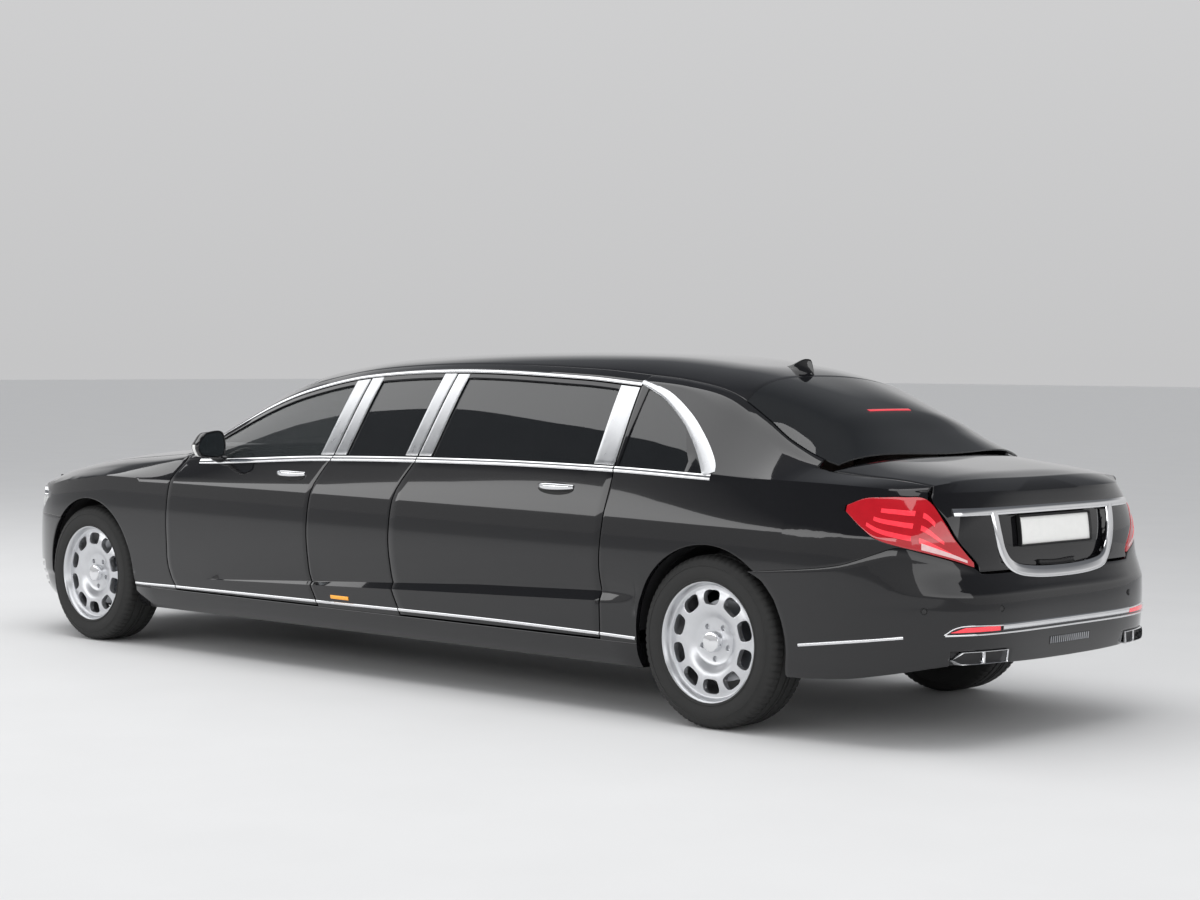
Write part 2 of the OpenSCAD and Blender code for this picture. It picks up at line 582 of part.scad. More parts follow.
// Wheel, tyre and brake disc, drawn round Z with the outside up
module rim_solid() {
    h = tyre_w / 2 - 10;
    difference() {
        rotate_extrude($fn = 60)
            polygon([[0, h - 36], [0, h - 30], [30, h - 30], [36, h - 34], [60, h - 34], [150, h - 22],
                [rim_r - 37, h - 18], [rim_r - 19, h - 8], [rim_r - 7, h], [rim_r, h], [rim_r, h - 7],
                [rim_r - 15, h - 9], [rim_r - 20, h - 13], [rim_r - 22, h - 42], [rim_r - 31, h - 72],
                [rim_r - 31, 30 - h], [rim_r - 22, 20 - h], [rim_r - 20, 13 - h], [rim_r - 15, 9 - h],
                [rim_r, 7 - h], [rim_r, -h], [rim_r - 8, -h], [rim_r - 19, 3 - h], [rim_r - 37, 28 - h],
                [rim_r - 37, h - 42], [150, h - 42], [75, h - 60], [75, 30], [spindle_r + fit, 30],
                [spindle_r + fit, h - 36]]);
        for (k = [1:rim_windows])
            rotate([0, 0, 360 * k / rim_windows])
                linear_extrude(height = tyre_w)
                    polygon([[152, -22], [160, -29], [196, -40], [206, -36], [210, 0], [206, 36], [196, 40],
                        [160, 29], [152, 22]]);
        for (k = [1:5])
            rotate([0, 0, 72 * k])
                translate([56, 0, h - 46])
                    cylinder(r = 10, h = 30, $fn = 16);
    }
}
module brake_disc() {
    difference() {
        translate([0, 0, 10]) cylinder(r = 172, h = 19.6);
        cylinder(r = spindle_r + fit, h = 40);
    }
}
module tyre_solid() {
    h = tyre_w / 2 - 10;
    rotate_extrude($fn = 48)
        polygon([[rim_r - 19.5, h - 14], [rim_r - 14.5, h - 10], [rim_r + 0.5, h - 7.5], [rim_r + 3, h + 2],
            [rim_r + 32, h + 9], [tyre_r - 44, h + 10], [tyre_r - 16, h + 2], [tyre_r - 5, h - 9], [tyre_r, h - 26],
            [tyre_r, 26 - h], [tyre_r - 5, 9 - h], [tyre_r - 16, -h - 2], [tyre_r - 44, -h - 10],
            [rim_r + 32, -h - 9], [rim_r + 3, -h - 2], [rim_r + 0.5, 7.5 - h], [rim_r - 14.5, 10 - h],
            [rim_r - 19.5, 14 - h], [rim_r - 17, 32 - h], [rim_r + 40, 4 - h], [tyre_r - 14, 20 - h],
            [tyre_r - 14, h - 20], [rim_r + 40, h - 4], [rim_r - 17, h - 32]]);
}
module at_wheel(axle, track) {
    translate([axle, track / 2, tyre_r]) rotate([-90, 0, 0]) children();
}
module wheel() {
    rim_solid();
    brake_disc();
}

// Plate along Y from a side view outline, and a block between two corners
module side_plate(y, w, outline) {
    translate([0, y + w, 0]) rotate([90, 0, 0]) linear_extrude(height = w) polygon(outline);
}
module block(a, b) {
    translate(a) cube(b - a);
}
module cross_pin(at, r, w) {
    translate([at.x, at.y - w / 2, at.z]) rotate([-90, 0, 0]) cylinder(r = r, h = w);
}

sill_in = half_w - sill_d;
floor_z = sill_bot + 10;
bulkhead_x = front_cut - 20;
boot_x = axle_r - 150;
tail_x = x_rear + 130;
liner_f = track_f / 2 - 357;
liner_r = track_r / 2 - 218;
dash_w = half_w - 250;
bench_w = liner_r - 60;

module floor_pan() {
    color("#26282b") {
        difference() {
            union() {
                block([axle_r + arch_r + 22, -sill_in + seam, floor_z], [bulkhead_x, sill_in - seam, floor_z + 20]);
                block([axle_r + arch_r + 22, -140, floor_z], [bulkhead_x, 140, floor_z + 180]);
                block([bulkhead_x - 30, 60 - sill_in, floor_z], [bulkhead_x, sill_in - 60, 985]);
                block([bulkhead_x - 30, -dash_w, 955], [axle_f - 600, dash_w, 985]);
                block([axle_r + arch_r + 2, seam - liner_r, floor_z], [axle_r + arch_r + 22, liner_r - seam, 480]);
                block([tail_x, seam - liner_r, 460], [axle_r + arch_r + 22, liner_r - seam, 480]);
                block([boot_x - 30, seam - liner_r, 460], [boot_x, liner_r - seam, 1040]);
                both() block([lid_pin.x - 16, lid_pin.y - 40, 1030], [boot_x, lid_pin.y - 14, 1086]);
                block([bulkhead_x - 30, liner_f - 60, 380], [x_front - 240, liner_f - seam, 480]);
                block([bulkhead_x - 30, seam - liner_f, 380], [x_front - 240, 60 - liner_f, 480]);
                block([x_front - 300, 60 - liner_f, 300], [x_front - 240, liner_f - 60, 760]);
                both() block([bonnet_pin.x - 16, bonnet_pin.y - 36, 955],
                    [bonnet_pin.x + 16, bonnet_pin.y - 14, 1020]);
            }
            block([axle_r + arch_r - 60, -100, floor_z - 1], [bulkhead_x - 40, 100, floor_z + 150]);
        }
        both() {
            cross_pin(lid_pin - [0, 10, 0], 8, 59);
            cross_pin(bonnet_pin - [0, 5, 0], 8, 58);
        }
    }
}

module sills() {
    color("#0b0b0d") both()
        translate([axle_r + arch_r, 0, 0]) rotate([90, 0, 90])
            linear_extrude(height = wheelbase - 2 * arch_r)
                polygon(concat(
                    [for (z = [sill_bot, sill_bot + 15, sill_bot + 35, sill_bot + 65, sill_top])
                        [half_w - inset(0, z), z]],
                    [[sill_in, sill_top], [sill_in, sill_bot]]));
}

module front_wings() {
    color("#0b0b0d") both() front_wing();
}

module quarter_panels() {
    color("#0b0b0d") both() quarter_panel();
}

module mid_panels() {
    color("#0b0b0d") both() mid_panel();
}

module roof_rails() {
    color("#0b0b0d") both() roof_rail();
}

module roof() {
    color("#0b0b0d") cross_panel(function (s, v) roof_x(s, v), 14, rail_w + seam, skin_t);
}

module windscreen() {
    color("#1a2226") cross_panel(function (s, v) screen_x(s, v), 6, rail_w + seam, glass_t);
}

module rear_window() {
    color("#1a2226") cross_panel(function (s, v) rear_screen_x(s, v), 6, rail_w + 3, glass_t);
}

module side_panes() {
    color("#101417") both() {
        mid_pane();
        quarter_pane();
    }
}

module front_bumper() {
    color("#0b0b0d") front_bumper_skin();
}

module rear_bumper() {
    color("#0b0b0d") rear_bumper_skin();
}

module grille() {
    color("#c9ccd0") grille_frame();
}

module head_lamps() {
    color("#dfe5ea") both() lamp(head_lamp_edge, [26, 31, 38, 47, 53, 58, 69], false);
}

module tail_lamps() {
    color("#a3141a") both() lamp(tail_lamp_edge, [17, 22, 28, 36, 46, 55, 62, 69], true);
}

module exhausts() {
    color("#8d9196") both() {
        difference() {
            tip_prism(tip_wall, 160);
            difference() {
                translate([-1, 0, 0]) tip_prism(0, 130);
                block([x_rear, 556, 300], [x_rear + 200, 566, 420]);
            }
        }
        translate([x_rear + 170, 560, 369]) rotate([0, 90, 0]) cylinder(r = 26, h = 240);
        block([x_rear + 400, liner_r - 160, 300], [x_rear + 700, liner_r - 10, 460 - seam / 2]);
    }
}

module engine() {
    color("#4a4d51") {
        block([axle_f - 620, -300, 300], [axle_f + 100, 300, 800]);
        block([axle_f - 690, -160, 260], [axle_f - 620, 160, 500]);
        both() block([axle_f - 300, 290, 400], [axle_f - 200, liner_f - 60 - seam, 460]);
    }
}

module dashboard() {
    color("#1c1b1a")
        block([bulkhead_x - 330, -dash_w, 640], [bulkhead_x - 30 - seam, dash_w, 940]);
}

module steering_wheel() {
    color("#1c1b1a") translate([bulkhead_x - 430, 360, 790]) rotate([0, 68, 0]) {
        rotate_extrude() translate([180, 0]) circle(r = 14, $fn = 24);
        cylinder(r = 60, h = 30, center = true);
        for (a = [0, 120, 240])
            rotate([0, 0, a]) translate([0, -16, -7]) cube([178, 32, 14]);
        cylinder(r = 30, h = (100 - seam - 30 * cos(68)) / sin(68));
    }
}

// Seat with its cushion and back as seen from the side, facing forward
function cushion(l) = [[0, 0], [l, 30], [l + 30, 70], [l + 20, 120], [l - 20, 140], [60, 110], [0, 100]];
function seat_back(h, lean) = [[0, 60], [70, 60], [90, 120], [70 - lean * 0.5, h * 0.6], [60 - lean, h],
    [-20 - lean, h + 10], [-60 - lean, h - 10], [-60, 80]];
module seat(at, w, l, h, lean, facing) {
    translate(at) mirror([facing < 0 ? 1 : 0, 0, 0]) {
        side_plate(-w / 2, w, cushion(l));
        translate([-40, 0, 30]) side_plate(-w / 2, w, seat_back(h, lean));
        translate([-60 - lean, 0, h + 25]) side_plate(-w / 4, w / 2, [[-40, 0], [40, 0], [30, 170], [-30, 180]]);
    }
}

module front_seats() {
    color("#201d1b") both() {
        seat([front_cut - 800, 380, floor_z + 200], 520, 500, 560, 180, 1);
        block([front_cut - 740, 180, floor_z + 20], [front_cut - 340, 580, floor_z + 222]);
    }
}

module rear_seats() {
    color("#201d1b") both() {
        seat([boot_x + 330, 52 + bench_w / 2, 480 + seam], bench_w, 520, 580, 190, 1);
        block([axle_r + arch_r + 24, 150, floor_z + 20], [axle_r + arch_r + 250, 52 + bench_w, 500]);
        seat([mid_cut - 240, 380, floor_z + 190], 440, 480, 480, 60, -1);
        block([mid_cut - 640, 180, floor_z + 20], [mid_cut - 260, 580, floor_z + 212]);
    }
}

module partition() {
    color("#24262a") difference() {
        block([mid_cut - 40, 310 - half_w, floor_z + 20], [mid_cut, half_w - 310, 1180]);
        block([mid_cut - 50, -140 - seam, floor_z], [mid_cut + 10, 140 + seam, floor_z + 180 + seam]);
    }
}

module tow_socket() {
    color("#8d9196") translate([x_front - 240, -350, 330]) rotate([0, 90, 0]) difference() {
        cylinder(r = 24, h = 110);
        translate([0, 0, 30]) cylinder(r = 10, h = 90);
    }
}

module front_axle() {
    color("#34373b") {
        block([axle_f - 90, -420, 170], [axle_f + 90, 420, 240]);
        both() {
            block([axle_f - 60, 380, 240], [axle_f - 10, 420, 379.8]);
            block([axle_f - 28, 380, 180], [axle_f + 28, pin_y + 24, 204]);
            block([axle_f - 28, 394, 499], [axle_f + 28, pin_y + 24, 520]);
            block([axle_f - 60, 396, 480.2], [axle_f + 60, 450, 520]);
            translate([axle_f, pin_y, 190]) cylinder(r = 12, h = 320);
        }
    }
}

module rear_axle() {
    color("#34373b") {
        block([axle_r - 140, -130, 250], [axle_r + 140, 130, 459.8]);
        block([axle_r - 200, -580, 200], [axle_r - 140, 580, 260]);
        block([axle_r + 140, -580, 200], [axle_r + 200, 580, 260]);
        block([axle_r - 200, -60, 240], [axle_r + 200, 60, 260]);
        both() {
            translate([axle_r, 120, tyre_r]) rotate([-90, 0, 0]) cylinder(r = 20, h = 600);
            block([axle_r - 45, track_r / 2 - 110, 280], [axle_r + 45, track_r / 2 - 8, 448]);
            translate([axle_r, track_r / 2 - 20, tyre_r]) rotate([-90, 0, 0]) cylinder(r = spindle_r, h = 94);
            block([axle_r - 200, 540, 220], [axle_r + 200, 620, 250]);
            block([axle_r - 60, 600, 220], [axle_r + 60, track_r / 2 - 80, 250]);
            block([axle_r - 40, track_r / 2 - 110, 240], [axle_r + 40, track_r / 2 - 80, 300]);
        }
    }
}

module liner(axle, inside, r) {
    translate([axle, inside, tyre_r]) rotate([-90, 0, 0]) difference() {
        cylinder(r = r + 5, h = half_w - 112 - inside);
        translate([0, 0, 5]) cylinder(r = r, h = half_w);
        translate([-r - 9, 0, -1]) cube([2 * r + 18, r + 9, half_w]);
    }
}

module wheel_liners() {
    color("#17181a") both() {
        difference() {
            liner(axle_f, liner_f, arch_r + 2);
            block([axle_f - 80, liner_f - 9, tyre_r - 9], [axle_f + 80, liner_f + 9, 540]);
        }
        difference() {
            liner(axle_r, liner_r, arch_r + 2);
            block([axle_r - 80, liner_r - 9, tyre_r - 9], [axle_r + 80, liner_r + 9, 470]);
        }
    }
}

module door_hinges() {
    color("#8d9196") both() {
        hinge(front_cut);
        hinge(rear_cut);
    }
}

module door_fl() {
    color("#0b0b0d") front_door();
}

module door_fr() {
    color("#0b0b0d") mirror([0, 1, 0]) front_door();
}

module door_rl() {
    color("#0b0b0d") rear_door();
}

module door_rr() {
    color("#0b0b0d") mirror([0, 1, 0]) rear_door();
}

module pane_fl() {
    color("#1a2226") front_pane();
}

module pane_fr() {
    color("#1a2226") mirror([0, 1, 0]) front_pane();
}

module pane_rl() {
    color("#101417") rear_pane();
}

module pane_rr() {
    color("#101417") mirror([0, 1, 0]) rear_pane();
}

module mirror_l() {
    color("#0b0b0d") mirror_shell();
}

module mirror_r() {
    color("#0b0b0d") mirror([0, 1, 0]) mirror_shell();
}

module bonnet() {
    color("#0b0b0d") {
        bonnet_skin();
        both() difference() {
            block(bonnet_pin + [-11, -10, -11], bonnet_pin + [150, 12, 26]);
            block(bonnet_pin + [-20, -20, 14], bonnet_pin + [60, 20, 36]);
            cross_pin(bonnet_pin, 8 + fit, 60);
        }
    }
}

module boot_lid() {
    color("#0b0b0d") {
        lid_skin();
        both() difference() {
            translate([lid_pin.x, 0, lid_pin.z])
                side_plate(lid_pin.y - 10, 20, [[14, 14], [-14, 14], [-48, -165], [-281, -165], [-281, 10],
                    [-311, 10], [-311, -193], [-28, -193]]);
            cross_pin(lid_pin, 8 + fit, 60);
        }
    }
}

module knuckle() {
    difference() {
        union() {
            block([axle_f - 34, pin_y - 34, 206], [axle_f + 34, pin_y + 26, 497]);
            translate([axle_f, pin_y + 20, tyre_r]) rotate([-90, 0, 0])
                cylinder(r = spindle_r, h = pin_offset + tyre_w / 2 - 68);
        }
        translate([axle_f, pin_y, 100]) cylinder(r = 12 + fit, h = 500);
    }
}

module knuckle_l() {
    color("#4a4d51") knuckle();
}

module knuckle_r() {
    color("#4a4d51") mirror([0, 1, 0]) knuckle();
}

module tyre_fl() {
    color("#141414") at_wheel(axle_f, track_f) tyre_solid();
}

module tyre_fr() {
    color("#141414") mirror([0, 1, 0]) at_wheel(axle_f, track_f) tyre_solid();
}

module tyre_rl() {
    color("#141414") at_wheel(axle_r, track_r) tyre_solid();
}

module tyre_rr() {
    color("#141414") mirror([0, 1, 0]) at_wheel(axle_r, track_r) tyre_solid();
}

module wheel_fl() {
    color("#b9bdc2") at_wheel(axle_f, track_f) wheel();
}

module wheel_fr() {
    color("#b9bdc2") mirror([0, 1, 0]) at_wheel(axle_f, track_f) wheel();
}

module wheel_rl() {
    color("#b9bdc2") at_wheel(axle_r, track_r) wheel();
}

module wheel_rr() {
    color("#b9bdc2") mirror([0, 1, 0]) at_wheel(axle_r, track_r) wheel();
}

floor_pan();
sills();
front_wings();
quarter_panels();
mid_panels();
roof_rails();
roof();
windscreen();
rear_window();
side_panes();
front_bumper();
rear_bumper();
grille();
head_lamps();
tail_lamps();
exhausts();
engine();
dashboard();
steering_wheel();
front_seats();
rear_seats();
partition();
front_axle();
rear_axle();
wheel_liners();
door_hinges();
tow_socket();
door_fl();
door_fr();
door_rl();
door_rr();
pane_fl();
pane_fr();
pane_rl();
pane_rr();
mirror_l();
mirror_r();
bonnet();
boot_lid();
knuckle_l();
knuckle_r();
tyre_fl();
tyre_fr();
tyre_rl();
tyre_rr();
wheel_fl();
wheel_fr();
wheel_rl();
wheel_rr();
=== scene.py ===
"""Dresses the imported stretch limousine: panels, glass, bright trim, wheels, lamps and cabin."""
import json
import logging
import math
from dataclasses import dataclass
from enum import Enum
from typing import Any, Callable, Iterable, Optional, Sequence

import bpy
import numpy as np
from mathutils import Matrix, Vector


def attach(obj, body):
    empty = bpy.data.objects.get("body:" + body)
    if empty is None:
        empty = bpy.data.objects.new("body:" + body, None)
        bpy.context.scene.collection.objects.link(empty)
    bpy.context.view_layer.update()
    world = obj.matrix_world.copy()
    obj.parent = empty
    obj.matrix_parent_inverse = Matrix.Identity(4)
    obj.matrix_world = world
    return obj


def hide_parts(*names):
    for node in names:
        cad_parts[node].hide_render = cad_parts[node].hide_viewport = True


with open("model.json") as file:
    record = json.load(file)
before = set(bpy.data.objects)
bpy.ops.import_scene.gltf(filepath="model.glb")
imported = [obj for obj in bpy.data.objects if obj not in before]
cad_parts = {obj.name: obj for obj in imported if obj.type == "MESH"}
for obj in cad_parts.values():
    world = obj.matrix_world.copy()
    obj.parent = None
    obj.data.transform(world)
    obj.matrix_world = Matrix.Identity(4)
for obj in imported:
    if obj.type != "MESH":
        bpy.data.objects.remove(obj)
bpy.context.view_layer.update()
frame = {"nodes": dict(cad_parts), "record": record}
LOG = logging.getLogger("limousine")
MM = 0.001
WELD = 1e-6
PANEL_ANGLE = 28.0
BOTH = ("body", "body")
FRONT_DOORS = ("door_fl", "door_fr")
REAR_DOORS = ("door_rl", "door_rr")
Piece = bpy.types.Object
Point = tuple[float, float, float]
Surface = Callable[[float, float, float], Point]


def lerp(a: float, b: float, t: float) -> float:
    """Value a share t of the way from a to b."""
    return a + (b - a) * t


def clamp(t: float, low: float = 0.0, high: float = 1.0) -> float:
    """Value kept between two ends."""
    return min(max(t, low), high)


def spread(stops: Sequence[float], counts: Sequence[int]) -> list[float]:
    """Stops with each gap between them divided into equal steps.

    Args:
        stops: values in order.
        counts: steps in each gap.

    Returns:
        All values, each stop among them once.
    """
    out = [stops[0]]
    for a, b, n in zip(stops, stops[1:], counts):
        out += [lerp(a, b, k / n) for k in range(1, n + 1)]
    return out


def turns(count: int) -> np.ndarray:
    """Angles once round, in radians."""
    return np.linspace(0, 2 * math.pi, count, endpoint=False)


def level(values: Sequence[float], height: float) -> np.ndarray:
    """Path at one height along given values."""
    line = np.array(values, float)
    return np.stack([line, np.full_like(line, height)], 1)


def metres(rows: Iterable[Iterable[Point]]) -> np.ndarray:
    """Grid of points in millimetres as an array in metres."""
    return np.array([list(row) for row in rows], float) * MM


class Wire:
    """A shader socket whose values can be worked with in plain Python."""

    def __init__(self, tree: "Shader", socket: bpy.types.NodeSocket) -> None:
        """Wraps a socket of a tree."""
        self.tree, self.socket = tree, socket

    def _math(self, operation: str, a: Any, b: Any) -> "Wire":
        """Math node on two values or wires."""
        return self.tree.node("ShaderNodeMath", {"operation": operation}, {0: a, 1: b}).out()

    def __add__(self, other: Any) -> "Wire":
        """Sum."""
        return self._math("ADD", self, other)

    __radd__ = __add__

    def __sub__(self, other: Any) -> "Wire":
        """Difference."""
        return self._math("SUBTRACT", self, other)

    def __rsub__(self, other: Any) -> "Wire":
        """Difference the other way round."""
        return self._math("SUBTRACT", other, self)

    def __mul__(self, other: Any) -> "Wire":
        """Product."""
        return self._math("MULTIPLY", self, other)

    __rmul__ = __mul__


class Stage:
    """A node with its outputs as wires."""

    def __init__(self, tree: "Shader", node: bpy.types.Node) -> None:
        """Wraps a node of a tree."""
        self.tree, self.node = tree, node

    def out(self, key: Any = 0) -> Wire:
        """Output by name or number."""
        return Wire(self.tree, self.node.outputs[key])


class Shader:
    """Node tree of one material or of the world."""

    def __init__(self, tree: bpy.types.NodeTree) -> None:
        """Empties the tree."""
        self.tree = tree
        tree.nodes.clear()

    def node(self, kind: str, settings: Optional[dict] = None, values: Optional[dict] = None) -> Stage:
        """Adds a node.

        Args:
            kind: node type.
            settings: attributes set first; "stops" holds a ramp's positions and colours.
            values: sockets by name or number, each a number, colour or wire.

        Returns:
            The node with its outputs as wires.
        """
        made = self.tree.nodes.new(kind)
        for key, value in (settings or {}).items():
            if key == "stops":
                ramp = made.color_ramp.elements
                while len(ramp) < len(value):
                    ramp.new(0.5)
                for stop, (place, colour) in zip(ramp, value):
                    stop.position, stop.color = place, colour
            else:
                setattr(made, key, value)
        for key, value in (values or {}).items():
            socket = made.inputs[key]
            if isinstance(value, Wire):
                self.tree.links.new(value.socket, socket)
            else:
                socket.default_value = value
        return Stage(self, made)

    def place(self, scale: Point = (1, 1, 1)) -> Wire:
        """Object coordinates, stretched by a scale."""
        where = self.node("ShaderNodeTexCoord").out("Object")
        return self.node("ShaderNodeMapping", {}, {"Vector": where, "Scale": scale}).out()

    def noise(self, scale: float, detail: float = 3.0, stretch: Point = (1, 1, 1)) -> Wire:
        """Noise from 0 to 1 on object coordinates."""
        values = {"Vector": self.place(stretch), "Scale": scale, "Detail": detail}
        return self.node("ShaderNodeTexNoise", {}, values).out("Fac")

    def cells(self, scale: float) -> Wire:
        """Distance to the nearest grain of a cell pattern."""
        values = {"Vector": self.place(), "Scale": scale}
        return self.node("ShaderNodeTexVoronoi", {}, values).out("Distance")

    def tint(self, amount: Wire, a: Sequence[float], b: Sequence[float]) -> Wire:
        """Colour between a and b by an amount."""
        stops = [(0.0, (*a, 1.0)), (1.0, (*b, 1.0))]
        return self.node("ShaderNodeValToRGB", {"stops": stops}, {"Fac": amount}).out("Color")

    def bump(self, height: Wire, strength: float, depth: float) -> Wire:
        """Normal from a height pattern."""
        values = {"Height": height, "Strength": strength, "Distance": depth}
        return self.node("ShaderNodeBump", {}, values).out("Normal")


@dataclass(frozen=True)
class Finish:
    """A finish: two tints that a noise mixes, gloss, coat and grain.

    The grain is a bump of fine noise or of cells, at a scale in grains per metre.
    """

    name: str
    slot: str
    dark: Point
    light: Point
    rough: tuple[float, float] = (0.3, 0.4)
    metallic: float = 0.0
    coat: float = 0.0
    alpha: float = 1.0
    cloud: float = 6.0
    grain: float = 0.0
    grain_depth: float = 0.0
    grain_cells: bool = False
    stretch: Point = (1, 1, 1)
    glow: float = 0.0
    specular: float = 0.5

    def make(self) -> bpy.types.Material:
        """Builds the material once and returns it."""
        found = bpy.data.materials.get(self.name)
        if found:
            return found
        made = bpy.data.materials.new(self.name)
        made.use_nodes = True
        tree = Shader(made.node_tree)
        cloud = tree.noise(self.cloud, 4.0, self.stretch)
        values: dict[Any, Any] = {
            "Base Color": tree.tint(cloud, self.dark, self.light),
            "Roughness": self.rough[0] + (self.rough[1] - self.rough[0]) * cloud,
            "Metallic": self.metallic,
            "Coat Weight": self.coat,
            "Coat Roughness": 0.02,
            "Alpha": self.alpha,
            "Specular IOR Level": self.specular,
        }
        if self.grain:
            height = tree.cells(self.grain) if self.grain_cells else tree.noise(self.grain, 2.0, self.stretch)
            values["Normal"] = tree.bump(height, 0.6, self.grain_depth)
        if self.glow:
            values["Emission Color"] = (*self.light, 1.0)
            values["Emission Strength"] = self.glow
        skin = tree.node("ShaderNodeBsdfPrincipled", {}, values)
        tree.node("ShaderNodeOutputMaterial", {}, {"Surface": skin.out()})
        return made


class Kit(Enum):
    """All finishes of the car."""

    PAINT = Finish("gloss_black_paint", "paint", (0.004, 0.004, 0.005), (0.007, 0.007, 0.008), (0.06, 0.1), coat=1.0,
                   cloud=3.0, grain=240.0, grain_depth=0.00004, specular=0.12)
    CHROME = Finish("polished_chrome", "chrome", (0.8, 0.81, 0.83), (0.9, 0.9, 0.91), (0.05, 0.11), metallic=1.0,
                    cloud=14.0)
    SATIN = Finish("satin_pillar_metal", "chrome", (0.66, 0.67, 0.69), (0.78, 0.79, 0.8), (0.24, 0.34), metallic=1.0,
                   cloud=40.0, stretch=(1, 1, 0.05))
    ALLOY = Finish("silver_wheel_lacquer", "alloy", (0.62, 0.63, 0.65), (0.7, 0.71, 0.73), (0.3, 0.36), metallic=0.85,
                   coat=0.5, cloud=30.0)
    TYRE = Finish("tyre_rubber", "tyre", (0.01, 0.01, 0.01), (0.026, 0.026, 0.025), (0.62, 0.85), cloud=24.0,
                  grain=900.0, grain_depth=0.0003)
    GLASS = Finish("tinted_glass", "glass", (0.02, 0.024, 0.025), (0.03, 0.034, 0.035), (0.0, 0.004), alpha=0.62,
                   coat=0.6)
    DARK_GLASS = Finish("privacy_glass", "dark_glass", (0.006, 0.007, 0.008), (0.01, 0.011, 0.012), (0.0, 0.004),
                        alpha=0.9, coat=0.6)
    RED = Finish("red_lamp_lens", "red_lamp", (0.3, 0.003, 0.008), (0.46, 0.006, 0.014), (0.04, 0.09), coat=1.0,
                 cloud=18.0, glow=0.12)
    RED_BAR = Finish("red_light_bar", "red_lamp", (0.78, 0.02, 0.04), (0.92, 0.05, 0.07), (0.1, 0.2), coat=1.0,
                     cloud=60.0, glow=0.3)
    PALE_LENS = Finish("pale_lamp_strip", "clear_lamp", (0.7, 0.42, 0.42), (0.85, 0.62, 0.62), (0.06, 0.14), coat=1.0,
                       cloud=50.0)
    CLEAR = Finish("clear_lamp_lens", "clear_lamp", (0.3, 0.32, 0.34), (0.42, 0.44, 0.46), (0.02, 0.05), alpha=0.16,
                   coat=1.0)
    AMBER = Finish("amber_marker", "clear_lamp", (0.75, 0.26, 0.01), (0.95, 0.42, 0.02), (0.08, 0.16), coat=0.8,
                   cloud=60.0, glow=0.25)
    TRIM = Finish("black_moulded_trim", "trim", (0.012, 0.012, 0.013), (0.024, 0.024, 0.025), (0.45, 0.62),
                  cloud=20.0, grain=1400.0, grain_depth=0.00012, grain_cells=True)
    # Near-black matte finish used as painted shade: the flat ovals behind the door handles and the plugs inside the
    # exhaust tips.
    SEAL = Finish("painted_shade_black", "trim", (0.006, 0.006, 0.006), (0.012, 0.012, 0.012), (0.5, 0.7), cloud=30.0,
                  grain=1600.0, grain_depth=0.0001)
    LEATHER = Finish("dark_leather", "leather", (0.07, 0.06, 0.052), (0.105, 0.092, 0.08), (0.36, 0.52), cloud=12.0,
                     grain=420.0, grain_depth=0.0005, grain_cells=True)
    CARPET = Finish("cabin_carpet", "trim", (0.012, 0.012, 0.013), (0.035, 0.034, 0.034), (0.9, 1.0), cloud=300.0,
                    grain=900.0, grain_depth=0.0015)
    IRON = Finish("cast_iron", "iron", (0.035, 0.035, 0.037), (0.085, 0.085, 0.088), (0.55, 0.8), metallic=0.5,
                  cloud=20.0, grain=260.0, grain_depth=0.0005)
    STEEL = Finish("brushed_steel", "steel", (0.36, 0.37, 0.39), (0.5, 0.51, 0.53), (0.24, 0.38), metallic=1.0,
                   cloud=30.0, grain=800.0, grain_depth=0.00008, stretch=(0.1, 1, 1))
    PLATE = Finish("blank_plate", "clear_lamp", (0.78, 0.78, 0.76), (0.86, 0.86, 0.84), (0.35, 0.5), cloud=30.0,
                   grain=700.0, grain_depth=0.00005)
    MIRROR = Finish("mirror_glass", "glass", (0.5, 0.53, 0.56), (0.56, 0.59, 0.62), (0.01, 0.03), metallic=1.0,
                    cloud=6.0)
    WOOD = Finish("dark_veneer", "trim", (0.03, 0.014, 0.007), (0.085, 0.042, 0.02), (0.1, 0.2), coat=1.0, cloud=14.0,
                  stretch=(0.5, 6, 6))

    @property
    def material(self) -> bpy.types.Material:
        """Material of this finish."""
        return self.value.make()


